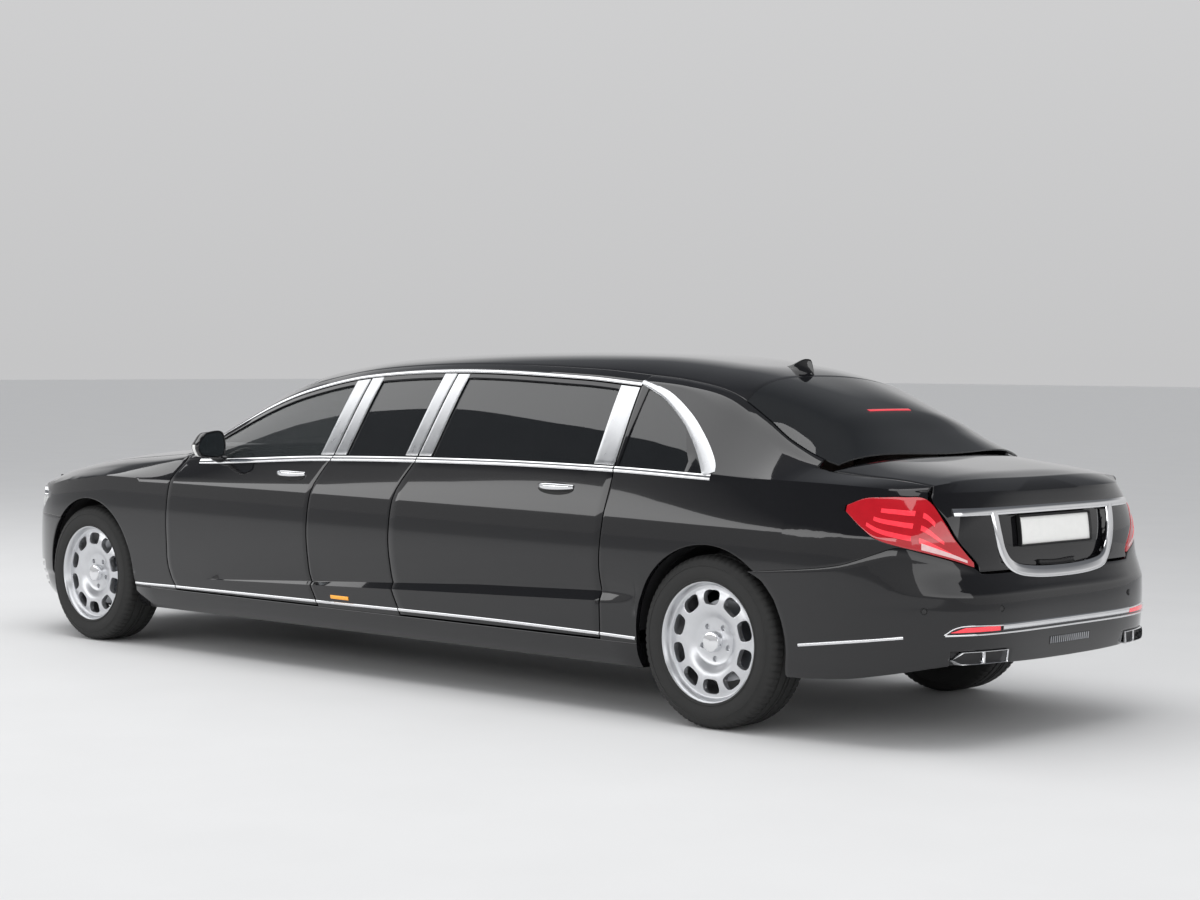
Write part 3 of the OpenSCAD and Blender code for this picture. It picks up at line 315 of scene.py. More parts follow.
class Bench:
    """Workbench: shapes primitives by operators and code, and hands out finished pieces."""

    @staticmethod
    def alone(obj: Piece) -> None:
        """Selects one object and nothing else."""
        bpy.ops.object.select_all(action="DESELECT")
        obj.select_set(True)
        bpy.context.view_layer.objects.active = obj

    @classmethod
    def edit(cls, obj: Piece, *steps: Callable[[], Any]) -> None:
        """Runs operators on the whole mesh in edit mode."""
        cls.alone(obj)
        bpy.ops.object.mode_set(mode="EDIT")
        bpy.ops.mesh.select_all(action="SELECT")
        for step in steps:
            step()
        bpy.ops.object.mode_set(mode="OBJECT")

    @staticmethod
    def weld() -> None:
        """Merges double points of the selected mesh."""
        bpy.ops.mesh.remove_doubles(threshold=WELD)

    @staticmethod
    def outward() -> None:
        """Turns the faces of the selected mesh outwards."""
        bpy.ops.mesh.normals_make_consistent(inside=False)

    @classmethod
    def sheet(cls, name: str, points: np.ndarray, hole: Optional[np.ndarray] = None) -> Piece:
        """Grid primitive whose corners are set to given points.

        Args:
            name: piece name.
            points: rows x columns x 3, in metres.
            hole: cells to cut out, (rows - 1) x (columns - 1).

        Returns:
            The open sheet.
        """
        rows, cols = points.shape[:2]
        bpy.ops.object.select_all(action="DESELECT")
        bpy.ops.mesh.primitive_grid_add(x_subdivisions=cols - 1, y_subdivisions=rows - 1, size=1)
        obj = bpy.context.active_object
        obj.name = obj.data.name = name
        obj.data.vertices.foreach_set("co", np.ascontiguousarray(points, np.float32).ravel())
        if hole is not None and hole.any():
            cls.drop(obj, np.flatnonzero(hole.ravel()))
        return obj

    @classmethod
    def drop(cls, obj: Piece, faces: Iterable[int]) -> None:
        """Deletes faces by number."""
        cls.alone(obj)
        bpy.ops.object.mode_set(mode="EDIT")
        bpy.ops.mesh.select_mode(type="FACE")
        bpy.ops.mesh.select_all(action="DESELECT")
        bpy.ops.object.mode_set(mode="OBJECT")
        for k in faces:
            obj.data.polygons[k].select = True
        bpy.ops.object.mode_set(mode="EDIT")
        bpy.ops.mesh.delete(type="FACE")
        bpy.ops.mesh.select_mode(type="VERT")
        bpy.ops.object.mode_set(mode="OBJECT")

    @classmethod
    def wall(cls, name: str, outer: np.ndarray, inner: np.ndarray,
             hole: Optional[np.ndarray] = None) -> Piece:
        """Closed wall: a shaped sheet, extruded in edit mode, its second face moved to the inner points."""
        obj = cls.sheet(name, outer)
        note = obj.data.attributes.new("inside", "FLOAT_VECTOR", "POINT")
        note.data.foreach_set("vector", np.ascontiguousarray(inner, np.float32).ravel())
        if hole is not None and hole.any():
            cls.drop(obj, np.flatnonzero(hole.ravel()))
        cls.edit(obj, bpy.ops.mesh.extrude_region)
        count = len(obj.data.vertices)
        picked = np.zeros(count, bool)
        obj.data.vertices.foreach_get("select", picked)
        place, inside = np.zeros(count * 3, np.float32), np.zeros(count * 3, np.float32)
        obj.data.vertices.foreach_get("co", place)
        obj.data.attributes["inside"].data.foreach_get("vector", inside)
        place = np.where(np.repeat(picked, 3), inside, place)
        obj.data.vertices.foreach_set("co", place)
        obj.data.attributes.remove(obj.data.attributes["inside"])
        cls.edit(obj, cls.outward)
        return obj

    @classmethod
    def shell(cls, name: str, point: Surface, us: Sequence[float], vs: Sequence[float], outer: float, inner: float,
              hole: Optional[np.ndarray] = None) -> Piece:
        """Wall between two depths of a surface.

        Args:
            name: piece name.
            point: place in millimetres of two coordinates and a depth.
            us: first coordinate of each row.
            vs: second coordinate of each column.
            outer: depth of the outer face.
            inner: depth of the inner face.
            hole: cells to cut out.

        Returns:
            The closed wall.
        """
        grid = lambda d: metres([point(u, v, d) for v in vs] for u in us)
        return cls.wall(name, grid(outer), grid(inner), hole)

    @classmethod
    def tube(cls, name: str, rings: np.ndarray) -> Piece:
        """Closed bar through rings of points (rings x points x 3), with its ends filled."""
        looped = np.concatenate([rings, rings[:, :1]], axis=1)
        obj = cls.sheet(name, looped)
        cls.edit(obj, cls.weld,
                 lambda: bpy.ops.mesh.fill_holes(sides=0),
                 cls.outward)
        return obj

    @classmethod
    def lathe(cls, name: str, profile: Sequence[tuple[float, float]], centre: np.ndarray, axis: np.ndarray,
              steps: int = 64) -> Piece:
        """Round piece about an axis from a closed profile of (radius, height) in metres."""
        up = np.array((0, 0, 1.0)) if abs(axis[2]) < 0.9 else np.array((1.0, 0, 0))
        e1 = np.cross(axis, up)
        e1 /= np.linalg.norm(e1)
        e2 = np.cross(axis, e1)
        ring = list(profile) + [profile[0]]
        grid = np.array([[centre + axis * h + (e1 * math.cos(a) + e2 * math.sin(a)) * max(r, 0.0004) for r, h in ring]
                         for a in np.linspace(0, 2 * math.pi, steps + 1)])
        obj = cls.sheet(name, grid)
        cls.edit(obj, cls.weld,
                 lambda: bpy.ops.mesh.dissolve_degenerate(threshold=1e-7),
                 cls.outward)
        return obj

    @classmethod
    def disc(cls, name: str, rim: Sequence[np.ndarray], inner: Sequence[np.ndarray], middle: np.ndarray) -> Piece:
        """Thin dished disc from two loops and its middle point."""
        loops = np.array([list(rim) + [rim[0]], list(inner) + [inner[0]], [middle] * (len(rim) + 1)])
        obj = cls.sheet(name, loops)
        cls.edit(obj, cls.weld,
                 lambda: bpy.ops.mesh.dissolve_degenerate(threshold=1e-7))
        cls.modify(obj, "SOLIDIFY", thickness=0.002, offset=0)
        return obj

    @classmethod
    def prism(cls, name: str, outline: Sequence[tuple[float, float]], low: float, high: float,
              place: Callable[[float, float, float], Point], bevel: float = 0.0, segments: int = 2) -> Piece:
        """Outline extruded between two depths and put in place by a function of (u, v, depth).

        Args:
            name: name of the piece.
            outline: corners as (u, v).
            low: first depth.
            high: last depth.
            place: gives the point in metres.
            bevel: width of the rounded edges, mm.
            segments: steps of the rounding.

        Returns:
            The prism.
        """
        bpy.ops.object.select_all(action="DESELECT")
        bpy.ops.mesh.primitive_circle_add(vertices=len(outline), radius=1, fill_type="NGON")
        obj = bpy.context.active_object
        obj.name = obj.data.name = name
        for vert, (u, v) in zip(obj.data.vertices, outline):
            vert.co = (u, v, low)
        cls.edit(obj, bpy.ops.mesh.extrude_region)
        for vert in obj.data.vertices:
            if vert.select:
                vert.co.z = high
        if bevel:
            cls.edit(obj, cls.outward)
            cls.bevel(obj, bevel, segments, angle=0.6)
        for vert in obj.data.vertices:
            vert.co = place(*vert.co)
        cls.edit(obj, cls.outward)
        return obj

    @classmethod
    def modify(cls, obj: Piece, kind: str, **settings: Any) -> None:
        """Adds a modifier and applies it."""
        cls.alone(obj)
        made = obj.modifiers.new(kind.lower(), kind)
        for key, value in settings.items():
            setattr(made, key, value)
        bpy.ops.object.modifier_apply(modifier=made.name)

    @classmethod
    def bevel(cls, obj: Piece, width: float, segments: int = 2, angle: float = 1.0) -> None:
        """Rounds edges sharper than an angle in radians, by a width in metres."""
        cls.modify(obj, "BEVEL", width=width, segments=segments, limit_method="ANGLE", angle_limit=angle)

    @classmethod
    def twin(cls, obj: Piece, name: str) -> Piece:
        """Mirror image of a piece across the car's middle plane, with its own mesh."""
        mesh = obj.data.copy()
        other = bpy.data.objects.new(name, mesh)
        mesh.name = name
        bpy.context.scene.collection.objects.link(other)
        mesh.transform(Matrix.Scale(-1, 4, (0, 1, 0)))
        mesh.flip_normals()
        return other

    @classmethod
    def join(cls, name: str, parts: Sequence[Piece]) -> Piece:
        """Joins pieces of one finish into one object."""
        cls.alone(parts[0])
        for part in parts:
            part.select_set(True)
        if len(parts) > 1:
            bpy.ops.object.join()
        parts[0].name = parts[0].data.name = name
        return parts[0]

    @classmethod
    def finish(cls, obj: Piece, kit: Kit, body: str = "body", nodes: Sequence[str] = (), angle: float = 35.0,
               slot: str = "") -> Piece:
        """Shades, paints and places a piece on its body.

        Args:
            obj: the piece.
            kit: its finish.
            body: the body that it moves with.
            nodes: solids that it stands for.
            angle: edges sharper than this stay sharp, in degrees.
            slot: material slot of the record, where it isn't the finish's own; not used.

        Returns:
            The piece.
        """
        cls.alone(obj)
        bpy.ops.object.shade_smooth_by_angle(angle=math.radians(angle))
        obj.data.materials.clear()
        obj.data.materials.append(kit.material)
        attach(obj, body)
        slot or kit.value.slot
        if nodes:
            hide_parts(*nodes)
        LOG.info("%s rides on %s", obj.name, body)
        return obj

    @classmethod
    def pair(cls, obj: Piece, name: str, kit: Kit, bodies: Sequence[str] = BOTH,
             nodes: Sequence[Sequence[str]] = ((), ()), angle: float = 35.0) -> tuple[Piece, Piece]:
        """Finishes a left piece and its mirror image; name has {} for the side letter.

        Args:
            obj: left piece.
            name: name with {} in it.
            kit: finish.
            bodies: bodies that the two ride.
            nodes: solids that each stands for.
            angle: edges sharper than this stay sharp, in degrees.

        Returns:
            The left and the right piece.
        """
        other = cls.twin(obj, name.format("r"))
        obj.name = obj.data.name = name.format("l")
        return (cls.finish(obj, kit, bodies[0], nodes[0], angle), cls.finish(other, kit, bodies[1], nodes[1], angle))


@dataclass(frozen=True)
class BodyForm:
    """Shape of the body, in millimetres, with the sizes and lines of the solids."""

    wheelbase: float = 4418
    front_overhang: float = 917
    rear_overhang: float = 1164
    half_w: float = 949.5
    waist: float = 1050
    house_h: float = 526
    tyre_r: float = 364
    arch_r: float = 408
    sill_bot: float = 215
    sill_top: float = 325
    wide_z: float = 700
    window_frame: float = 46
    shut_gap: float = 7
    rail_w: float = 55

    def __post_init__(self) -> None:
        """Works out the stations and the tables along the car."""
        put = lambda key, value: object.__setattr__(self, key, value)
        x_front = (self.front_overhang + self.wheelbase + self.rear_overhang) / 2
        f, r = x_front - self.front_overhang, x_front - self.front_overhang - self.wheelbase
        w, up = self.half_w, lambda share: self.waist + share * self.house_h
        put("x_front", x_front), put("axle_f", f), put("axle_r", r)
        put("front_cut", f - 714), put("mid_cut", f - 1847), put("rear_cut", f - 2447), put("quarter_cut", r + 603)
        put("x_bow", f - 900), put("x_stern", r + 600)
        put("bow_len", x_front - f + 900), put("stern_len", r + 600 + x_front)
        put("up", up), put("rail_end", up(0.745)), put("roof_start", f - 1430), put("roof_end", r + 156)
        put("belt", [(x_front - 55, 812, 120), (x_front - 155, 834, 116), (x_front - 375, 874, 108), (f, 930, 96),
                     (f - 400, 968, 84), (f - 790, 1002, 70), (f - 1106, 1015, 60), (f - 1905, 1055, 56),
                     (r + 1400, 1076, 55), (r + 565, 1072, 56), (r, 1056, 64), (r - 560, 1046, 86),
                     (r - 900, 1030, 104), (r - 1110, 1012, 116)])
        put("rail", [(x_front - 120, w - 405, 846), (f + 468, w - 278, 908), (f, w - 212, 970),
                     (f - 532, w - 174, 1014), (f - 700, w - 144, 1026), (f - 800, w - 118, 1042),
                     (f - 1032, w - 174, up(0.22)), (f - 1332, w - 228, up(0.483)), (f - 1594, w - 258, up(0.639)),
                     (f - 2000, w - 284, up(0.774)), (r + 1740, w - 295, up(0.836)), (r + 960, w - 295, up(0.791)),
                     (r + 640, w - 292, up(0.745)), (r + 386, w - 294, up(0.707)), (r + 136, w - 288, up(0.616)),
                     (r - 64, w - 270, up(0.403)), (r - 214, w - 246, up(0.22)), (r - 394, w - 234, up(0.095)),
                     (r - 560, w - 244, 1078), (r - 800, w - 256, 1062), (r - 1000, w - 278, 1036)])
        put("crown", [(f - 540, 1040), (f - 602, up(0.03)), (f - 700, up(0.125)), (f - 1050, up(0.475)),
                      (f - 1430, up(0.795)), (f - 1700, up(0.886)), (f - 2132, up(0.958)), (r + 1486, up(1)),
                      (r + 780, up(0.98)), (r + 350, up(0.882)), (r + 56, up(0.73)), (r - 250, up(0.51)),
                      (r - 554, up(0.2)), (r - 640, up(0.11))])
        put("glass_crown", [*self.crown[:-2], (r - 400, up(0.345)), (r - 554, 1148), (r - 640, 1110)])
        put("bonnet_crown", [(x_front - 60, 820), (x_front - 140, 874), (f + 468, 946), (f, 1010), (f - 532, 1060),
                             (f - 800, 1078)])
        put("lid_crown", [(r - 380, 1156), (r - 570, 1136), (r - 890, 1088), (r - 1000, 1060)])
        put("nose_in", [(900, 170), (860, 120), (800, 82), (700, 44), (600, 18), (450, 0), (330, 6), (250, 30),
                        (200, 62)])
        put("tail_in", [(1040, 122), (1000, 104), (935, 82), (850, 68), (718, 55), (650, 24), (606, 4), (470, 0),
                        (373, 8), (300, 32), (200, 84)])
        put("shut_line", [(up(0.78), 184), (1065, 140), (1000, 90), (900, 28), (740, 0), (560, 0), (456, 4),
                          (340, 50), (200, 100)])
        put("last_line", [(up(0.745), -14), (1074, 34), (860, 14), (730, 0), (500, -12), (340, -20), (200, -26)])
        put("tail_lamp", [(69, 722, 740), (62, 748, 822), (55, 768, 905), (46, 790, 992), (36, 812, 1002),
                          (28, 838, 1000), (22, 886, 994), (17, 944, 964)])
        put("head_lamp", [(69, 655, 822), (58, 652, 824), (47, 656, 828), (38, 668, 834), (31, 700, 828),
                          (26, 752, 786)])
        put("bow_top", [(90, 650), (69, 650), (58, 648), (47, 652), (38, 660), (26, 662), (22, 660), (14, 652)])
        put("stern_top", [(90, 697), (71, 698), (69, 719), (62, 745), (55, 765), (46, 787), (36, 806), (28, 780),
                          (22, 752), (17, 728), (6, 692), (2, 672)])
        put("stern_low", [(90, 334), (62, 346), (46, 332), (28, 298), (17, 272), (0, 244)])
        put("lid_edge", [(1040, 49), (992, 48), (905, 56.5), (822, 63), (740, 70), (690, 70.5)])
        put("quarter_top", [(r + 600, 0.94), (r + 409, 0.86), (r + 377, 0.83), (r + 288, 0.66), (r + 156, 0.12),
                            (r, 0.3), (r - 400, 0.6), (r - 700, 0.66)])

    @staticmethod
    def curve(table: Sequence[Sequence[float]], x: float, c: int = 1) -> float:
        """Smooth curve through a table whose first column falls."""
        last = len(table) - 1
        i = 0
        while i < last - 1 and x < table[i + 1][0]:
            i += 1

        def slope(k: int) -> float:
            """Slope of the table at a row."""
            a, b = table[max(k - 1, 0)], table[min(k + 1, last)]
            return (b[c] - a[c]) / (b[0] - a[0])

        p, q = table[i], table[i + 1]
        h = q[0] - p[0]
        s = clamp((x - p[0]) / h)
        return (p[c] * (1 + 2 * s) * (1 - s) ** 2 + q[c] * s * s * (3 - 2 * s)
                + h * (slope(i) * s * (1 - s) ** 2 + slope(i + 1) * s * s * (s - 1)))

    def belt_z(self, x: float) -> float:
        """Height of the belt line."""
        return self.curve(self.belt, x)

    def crease_z(self, x: float) -> float:
        """Height of the crease along the side."""
        return min(lerp(858, 893, (x - self.axle_r - 590) / 3014), self.belt_z(x) - 46)

    def ledge(self, x: float) -> tuple[float, float, float]:
        """Lower edge, upper edge and depth of the low ledge along the doors."""
        low = lerp(495, 400, (x + 1500) / 2800)
        high = low + max(4, min(42, 42 * (1300 - x) / 2000))
        return low, high, 18 * clamp((1300 - x) / 900) * clamp((x - self.axle_r - 380) / 200)

    def inset(self, x: float, z: float) -> float:
        """How far the side lies inside the widest line."""
        low, high, deep = self.ledge(x)
        dip, crease, top = 14 + deep, self.crease_z(x), self.belt_z(x)
        if z < self.sill_top:
            return 30 + 46 * ((self.sill_top - z) / (self.sill_top - self.sill_bot)) ** 2
        if z < low:
            return lerp(30, 14, (z - self.sill_top) / (low - self.sill_top))
        if z < high:
            return lerp(14, dip, (z - low) / (high - low))
        if z < self.wide_z:
            return dip * ((self.wide_z - z) / (self.wide_z - high)) ** 2
        if z < crease:
            return 7 * ((z - self.wide_z) / (crease - self.wide_z)) ** 2
        return lerp(7, self.curve(self.belt, x, 2), clamp((z - crease) / (top - crease)) ** 1.15)

    def side(self, x: float, z: float, d: float = 0.0) -> Point:
        """Point on the side and round its corners, d below the surface."""
        ahead = x >= 0
        t = max((x - self.x_bow) / self.bow_len if ahead else (self.x_stern - x) / self.stern_len, 0.0)
        power, root = (6, 3) if ahead else (8, 4)
        y = (self.half_w - self.inset(x, z) - d) * max(1 - min(t, 1) ** power, 0) ** (1 / root)
        shift = t ** 4 * (self.curve(self.nose_in if ahead else self.tail_in, z) + d)
        return (x - shift if ahead else x + shift, y, z)

    def bow_x(self, a: float) -> float:
        """Station at an angle round the nose, in degrees."""
        return self.x_bow + self.bow_len * max(math.sin(math.radians(a)), 0) ** (1 / 3)

    def stern_x(self, a: float) -> float:
        """Station at an angle round the tail, in degrees."""
        return self.x_stern - self.stern_len * max(math.sin(math.radians(a)), 0) ** 0.25

    def bow_angle(self, x: float) -> float:
        """Angle round the nose at a station."""
        return math.degrees(math.asin(clamp((x - self.x_bow) / self.bow_len) ** 3))

    def stern_angle(self, x: float) -> float:
        """Angle round the tail at a station."""
        return math.degrees(math.asin(clamp((self.x_stern - x) / self.stern_len) ** 4))

    def upper(self, x: float, t: float, d: float = 0.0) -> Point:
        """Point between the belt line (0) and the rail (1), d below the surface."""
        bx, by, bz = self.side(x, self.belt_z(x))
        ry, rz = self.curve(self.rail, bx), self.curve(self.rail, bx, 2)
        lie = (by - ry) ** 2 / ((by - ry) ** 2 + (rz - bz) ** 2)
        flat = clamp((lie - 0.4) / 0.3)
        return (bx, lerp(by, ry, t) + 40 * t * (1 - t) - d * (1 - flat), lerp(bz, rz, t) - d * flat)

    def upper_t(self, x: float, drop: float) -> float:
        """Share of the way to the rail at a drop below it."""
        return 1 - drop / (self.curve(self.rail, x, 2) - self.belt_z(x))

    def top(self, x: float, y: float, d: float = 0.0, middle: Optional[list] = None) -> Point:
        """Point on bonnet, windscreen, roof, rear window or boot lid."""
        ry, rz = self.curve(self.rail, x), self.curve(self.rail, x, 2)
        rise = self.curve(middle or self.crown, x) - rz
        return (x, y, rz + rise * (1 - min(abs(y) / ry, 1) ** 3.4) - d)

    def cut_x(self, base: float, z: float) -> float:
        """Shut line in front of a door or panel."""
        return base - self.curve(self.shut_line, z)

    def last_x(self, z: float) -> float:
        """Shut line behind the rear door."""
        return self.quarter_cut - self.curve(self.last_line, z)

    def arch_z(self, x: float, axle: float) -> float:
        """Height of a wheel arch."""
        return self.tyre_r + math.sqrt(max(self.arch_r ** 2 - (x - axle) ** 2, 0))

    def panel_z(self, x: float, r: float, low: float) -> float:
        """Height of a row of a door: 0 to 7 from its lower edge to the belt line."""
        lo, hi, _ = self.ledge(x)
        crease = self.crease_z(x)
        rows = (low, lo, hi, (hi + self.wide_z) / 2, self.wide_z, lerp(self.wide_z, crease, 0.6), crease,
                self.belt_z(x))
        i = min(int(r), 6)
        return lerp(rows[i], rows[i + 1], r - i)

    def panel_t(self, x: float, r: float, lip: float) -> float:
        """Share of the window height of a row of a door: 7 to 10 from the belt line to the rail."""
        glass = max(self.upper_t(x, self.window_frame), 0.06)
        rows = (0.0, glass / 2, glass, max(self.upper_t(x, lip), 0.12))
        i = min(int(r) - 7, 2)
        return lerp(rows[i], rows[i + 1], r - 7 - i)

    def panel(self, front: float, rear: Optional[float], c: float, r: float, low: float, lip: float, gap: float,
              d: float = 0.0) -> Point:
        """Point of a door or mid panel.

        Args:
            front: station of its front line.
            rear: station of its rear line, or None for the line behind the rear door.
            c: share of the way from front to rear.
            r: row, 0 to 10.
            low: height of the lower edge.
            lip: drop of the upper edge below the rail.
            gap: half of the shut gap.
            d: depth below the surface.

        Returns:
            The point in millimetres.
        """
        x0 = lerp(front, self.quarter_cut if rear is None else rear, c)
        z0 = (self.panel_z(x0, r, low) if r <= 7
              else lerp(self.belt_z(x0), self.curve(self.rail, x0, 2), self.panel_t(x0, r, lip)))
        end = self.last_x(z0) if rear is None else self.cut_x(rear, z0)
        x = lerp(self.cut_x(front, z0) - gap, end + gap, c)
        return self.side(x, self.panel_z(x, r, low), d) if r < 7 else self.upper(x, self.panel_t(x, r, lip), d)


FORM = BodyForm()


@dataclass
class SidePanels:
    """Doors, mid panels, wings, quarter panels, sills and roof rails."""

    door_t: float = 100
    frame_t: float = 40
    skin: float = 24
    hinge_back: float = 90
    door_low: float = 332
    door_lip: float = 25
    mid_lip: float = 23
    row_steps: tuple = (4, 3, 3, 7, 7, 5, 4, 8, 8, 3)
    front_cols: tuple = (0, 0.08, 0.16, 0.4, 0.64, 0.8, 0.916, 1)
    rear_cols: tuple = (0, 0.068, 0.25, 0.48, 0.7, 0.905, 1)
    mid_cols: tuple = (0, 0.14, 0.5, 0.86, 1)
    low_rows: tuple = (24, 8, 5)

    @property
    def lamp_rows(self) -> slice:
        """Rows of a wing or quarter panel that a lamp takes up."""
        return slice(self.low_rows[0], sum(self.low_rows[:2]))

    def depth(self, r: float) -> float:
        """Thickness of a door at a row."""
        rows = [self.door_t] * 7 + [0.7 * self.door_t] + [self.frame_t] * 3
        i = min(int(r), 9)
        return lerp(rows[i], rows[i + 1], r - i)

    def panel(self, name: str, front: float, rear: Optional[float], cols: Sequence[float], window: tuple[int, int],
              low: float, lip: float, swings: bool) -> Piece:
        """Left door or mid panel with its window cut out.

        Args:
            name: name of the piece.
            front: shut line ahead.
            rear: shut line behind, or none for the last one.
            cols: shares of the length.
            window: first and last open column.
            low: height of the lower edge.
            lip: frame over the window.
            swings: whether it is a door.

        Returns:
            The panel.
        """
        per = [max(2, round((b - a) * 36)) for a, b in zip(cols, cols[1:])]
        cs = spread(cols, per)
        rs = spread(range(11), self.row_steps)
        gap = FORM.shut_gap / 2
        outer = metres([FORM.panel(front, rear, c, r, low, lip, gap) for r in rs] for c in cs)
        rows = []
        for c in cs:
            row = []
            for r in rs:
                d = self.depth(r)
                p = FORM.panel(front, rear, c, r, low, lip, gap, d)
                if swings and c == 1:
                    lean = d * (FORM.half_w - 18 - p[1] - d / 2) / (front - self.hinge_back - p[0])
                    p = (p[0] + lean, p[1], p[2])
                row.append(p)
            rows.append(row)
        c_mid = [(a + b) / 2 for a, b in zip(cs, cs[1:])]
        r_mid = [(a + b) / 2 for a, b in zip(rs, rs[1:])]
        hole = np.array([[7 < r < 9 and cols[window[0]] < c < cols[window[1] + 1] for r in r_mid] for c in c_mid])
        obj = Bench.wall(name, outer, metres(rows), hole)
        Bench.bevel(obj, 0.0025)
        return obj

    def pane(self, name: str, front: float, rear: Optional[float], cols: Sequence[float], lip: float,
             depth: float = 9) -> Piece:
        """Left window pane, set back from the frame's face."""
        cs = spread(cols, [6] * (len(cols) - 1))
        rs = spread((7, 8, 9), (8, 8))
        gap = FORM.shut_gap / 2
        point = lambda c, r, d: FORM.panel(front, rear, c, r, 0, lip, gap, d)
        return Bench.shell(name, point, cs, rs, depth, depth + 5)

    def doors(self) -> None:
        """All doors, mid panels and their panes."""
        front, mid, rear = FORM.front_cut, FORM.mid_cut, FORM.rear_cut
        door = self.panel("door", front, mid, self.front_cols, (2, 5), self.door_low, self.door_lip, True)
        Bench.pair(door, "front_door_{}", Kit.PAINT, FRONT_DOORS, (("door_fl",), ("door_fr",)), PANEL_ANGLE)
        door = self.panel("door", rear, None, self.rear_cols, (1, 4), self.door_low, self.door_lip, True)
        Bench.pair(door, "rear_door_{}", Kit.PAINT, REAR_DOORS, (("door_rl",), ("door_rr",)), PANEL_ANGLE)
        panel = self.panel("panel", mid, rear, self.mid_cols, (1, 2), FORM.sill_top, self.mid_lip, False)
        Bench.pair(panel, "mid_panel_{}", Kit.PAINT, BOTH, (("mid_panels",), ()), PANEL_ANGLE)
        pane = self.pane("pane", front, mid, self.front_cols[2:7], self.door_lip)
        Bench.pair(pane, "front_pane_{}", Kit.GLASS, FRONT_DOORS, (("pane_fl",), ("pane_fr",)))
        pane = self.pane("pane", rear, None, self.rear_cols[1:6], self.door_lip)
        Bench.pair(pane, "rear_pane_{}", Kit.DARK_GLASS, REAR_DOORS, (("pane_rl",), ("pane_rr",)))
        pane = self.pane("pane", mid, rear, self.mid_cols[1:4], self.mid_lip)
        Bench.pair(pane, "mid_pane_{}", Kit.DARK_GLASS, BOTH, (("side_panes",), ()))

    def wings(self) -> None:
        """Front wings round the wheel arches, with the strip over the head lamps."""
        f, reach = FORM.axle_f, FORM.arch_r
        arch = [f + reach * math.cos(math.radians(180 - k * 5)) for k in range(37)]
        xs = spread([FORM.front_cut, FORM.front_cut + 60, f - reach - 1], (5, 8)) + arch[1:]
        xs += [FORM.bow_x(a) for a in (23, 26)]
        def low(x: float) -> float:
            """Lower edge of the panel."""
            if x < f - reach:
                return FORM.sill_top
            under = FORM.curve(FORM.bow_top, FORM.bow_angle(x)) + 0.5 if x > f else 0
            return max(FORM.arch_z(x, f), under)
        def edge(k: int, x: float, z: float) -> float:
            """Station of a column; the first ones lean along the shut line."""
            lead = FORM.cut_x(FORM.front_cut, z) + FORM.shut_gap / 2
            return lerp(lead, FORM.front_cut + 60, k / 5) if k < 5 else x
        xs += [FORM.bow_x(a) for a in spread((26, 31, 38, 47, 53), (4, 5, 6, 4))[1:]]
        def breaks(x: float) -> tuple[float, float, float, float]:
            """Heights at which the rows of a column break."""
            a = FORM.bow_angle(x)
            far = clamp((a - 6) / 18)
            crease, top = FORM.crease_z(x), FORM.belt_z(x)
            return (low(x), lerp(crease, FORM.curve(FORM.head_lamp, a), far),
                    lerp(lerp(crease, top, 0.4), FORM.curve(FORM.head_lamp, a, 2), far), top)
        def grid(d: float) -> np.ndarray:
            """Points of the skin at a depth."""
            out = []
            for k, x in enumerate(xs):
                row = [FORM.side(edge(k, x, z), z, d) for z in spread(breaks(x), self.low_rows)[:-1]]
                last = edge(k, x, FORM.belt_z(x))
                last += 6 * (1 - k / 5) if k < 5 else 0
                for t in (0, 0.2, 0.4, 0.6, 0.8, 1):
                    p = FORM.upper(last, t, 0)
                    row.append((p[0], p[1], p[2] - d) if t else FORM.upper(last, 0, d))
                out.append(row)
            return metres(out)
        hole = np.zeros((len(xs) - 1, sum(self.low_rows) + 5), bool)
        hole[xs.index(FORM.bow_x(26)):, self.lamp_rows] = True
        wing = Bench.wall("wing", grid(0), grid(self.skin), hole)
        Bench.bevel(wing, 0.0025)
        Bench.pair(wing, "front_wing_{}", Kit.PAINT, BOTH, (("front_wings",), ()), PANEL_ANGLE)

    def quarters(self) -> None:
        """Quarter panels with the rear pillars, their windows and the strip over the tail lamps."""
        r0, reach = FORM.axle_r, FORM.arch_r
        arch = [r0 + reach * math.cos(math.radians(k * 5)) for k in range(37)]
        xs = spread([FORM.quarter_cut, FORM.quarter_cut - 60, r0 + reach + 1], (6, 6)) + arch[1:]
        xs += [FORM.stern_x(a) for a in (8, 11, 14) if FORM.stern_x(a) < r0 - reach - 5]
        xs += [FORM.stern_x(a) for a in spread((17, 22, 28, 36, 46), (4, 5, 6, 7))]
        def low(x: float) -> float:
            """Lower edge of the panel."""
            if x > r0 + reach:
                return FORM.sill_top
            under = FORM.curve(FORM.stern_top, FORM.stern_angle(x)) + 0.5 if x < r0 else 0
            return max(FORM.arch_z(x, r0), under)
        def edge(k: int, x: float, z: float) -> float:
            """Station of a column; the first ones lean along the shut line."""
            lead = FORM.last_x(z) - FORM.shut_gap / 2
            return lerp(lead, FORM.quarter_cut - 60, k / 6) if k < 6 else x
        def breaks(x: float) -> tuple[float, float, float, float]:
            """Heights at which the rows of a column break."""
            a = FORM.stern_angle(x)
            far = clamp((a - 4) / 11)
            crease, top = FORM.crease_z(x), FORM.belt_z(x)
            return (low(x), lerp(crease, max(FORM.curve(FORM.tail_lamp, a), low(x) + 2), far),
                    lerp(lerp(crease, top, 0.4), FORM.curve(FORM.tail_lamp, a, 2), far), top)
        def share(x: float) -> list[float]:
            """Shares of the window height of the rows above the belt line."""
            glass = clamp(FORM.curve(FORM.quarter_top, x), 0.08, 0.95)
            return [glass * k / 10 for k in range(11)] + [lerp(glass, 1, k / 6) for k in range(1, 7)]
        def grid(d: float) -> np.ndarray:
            """Points of the skin at a depth."""
            out = []
            for k, x in enumerate(xs):
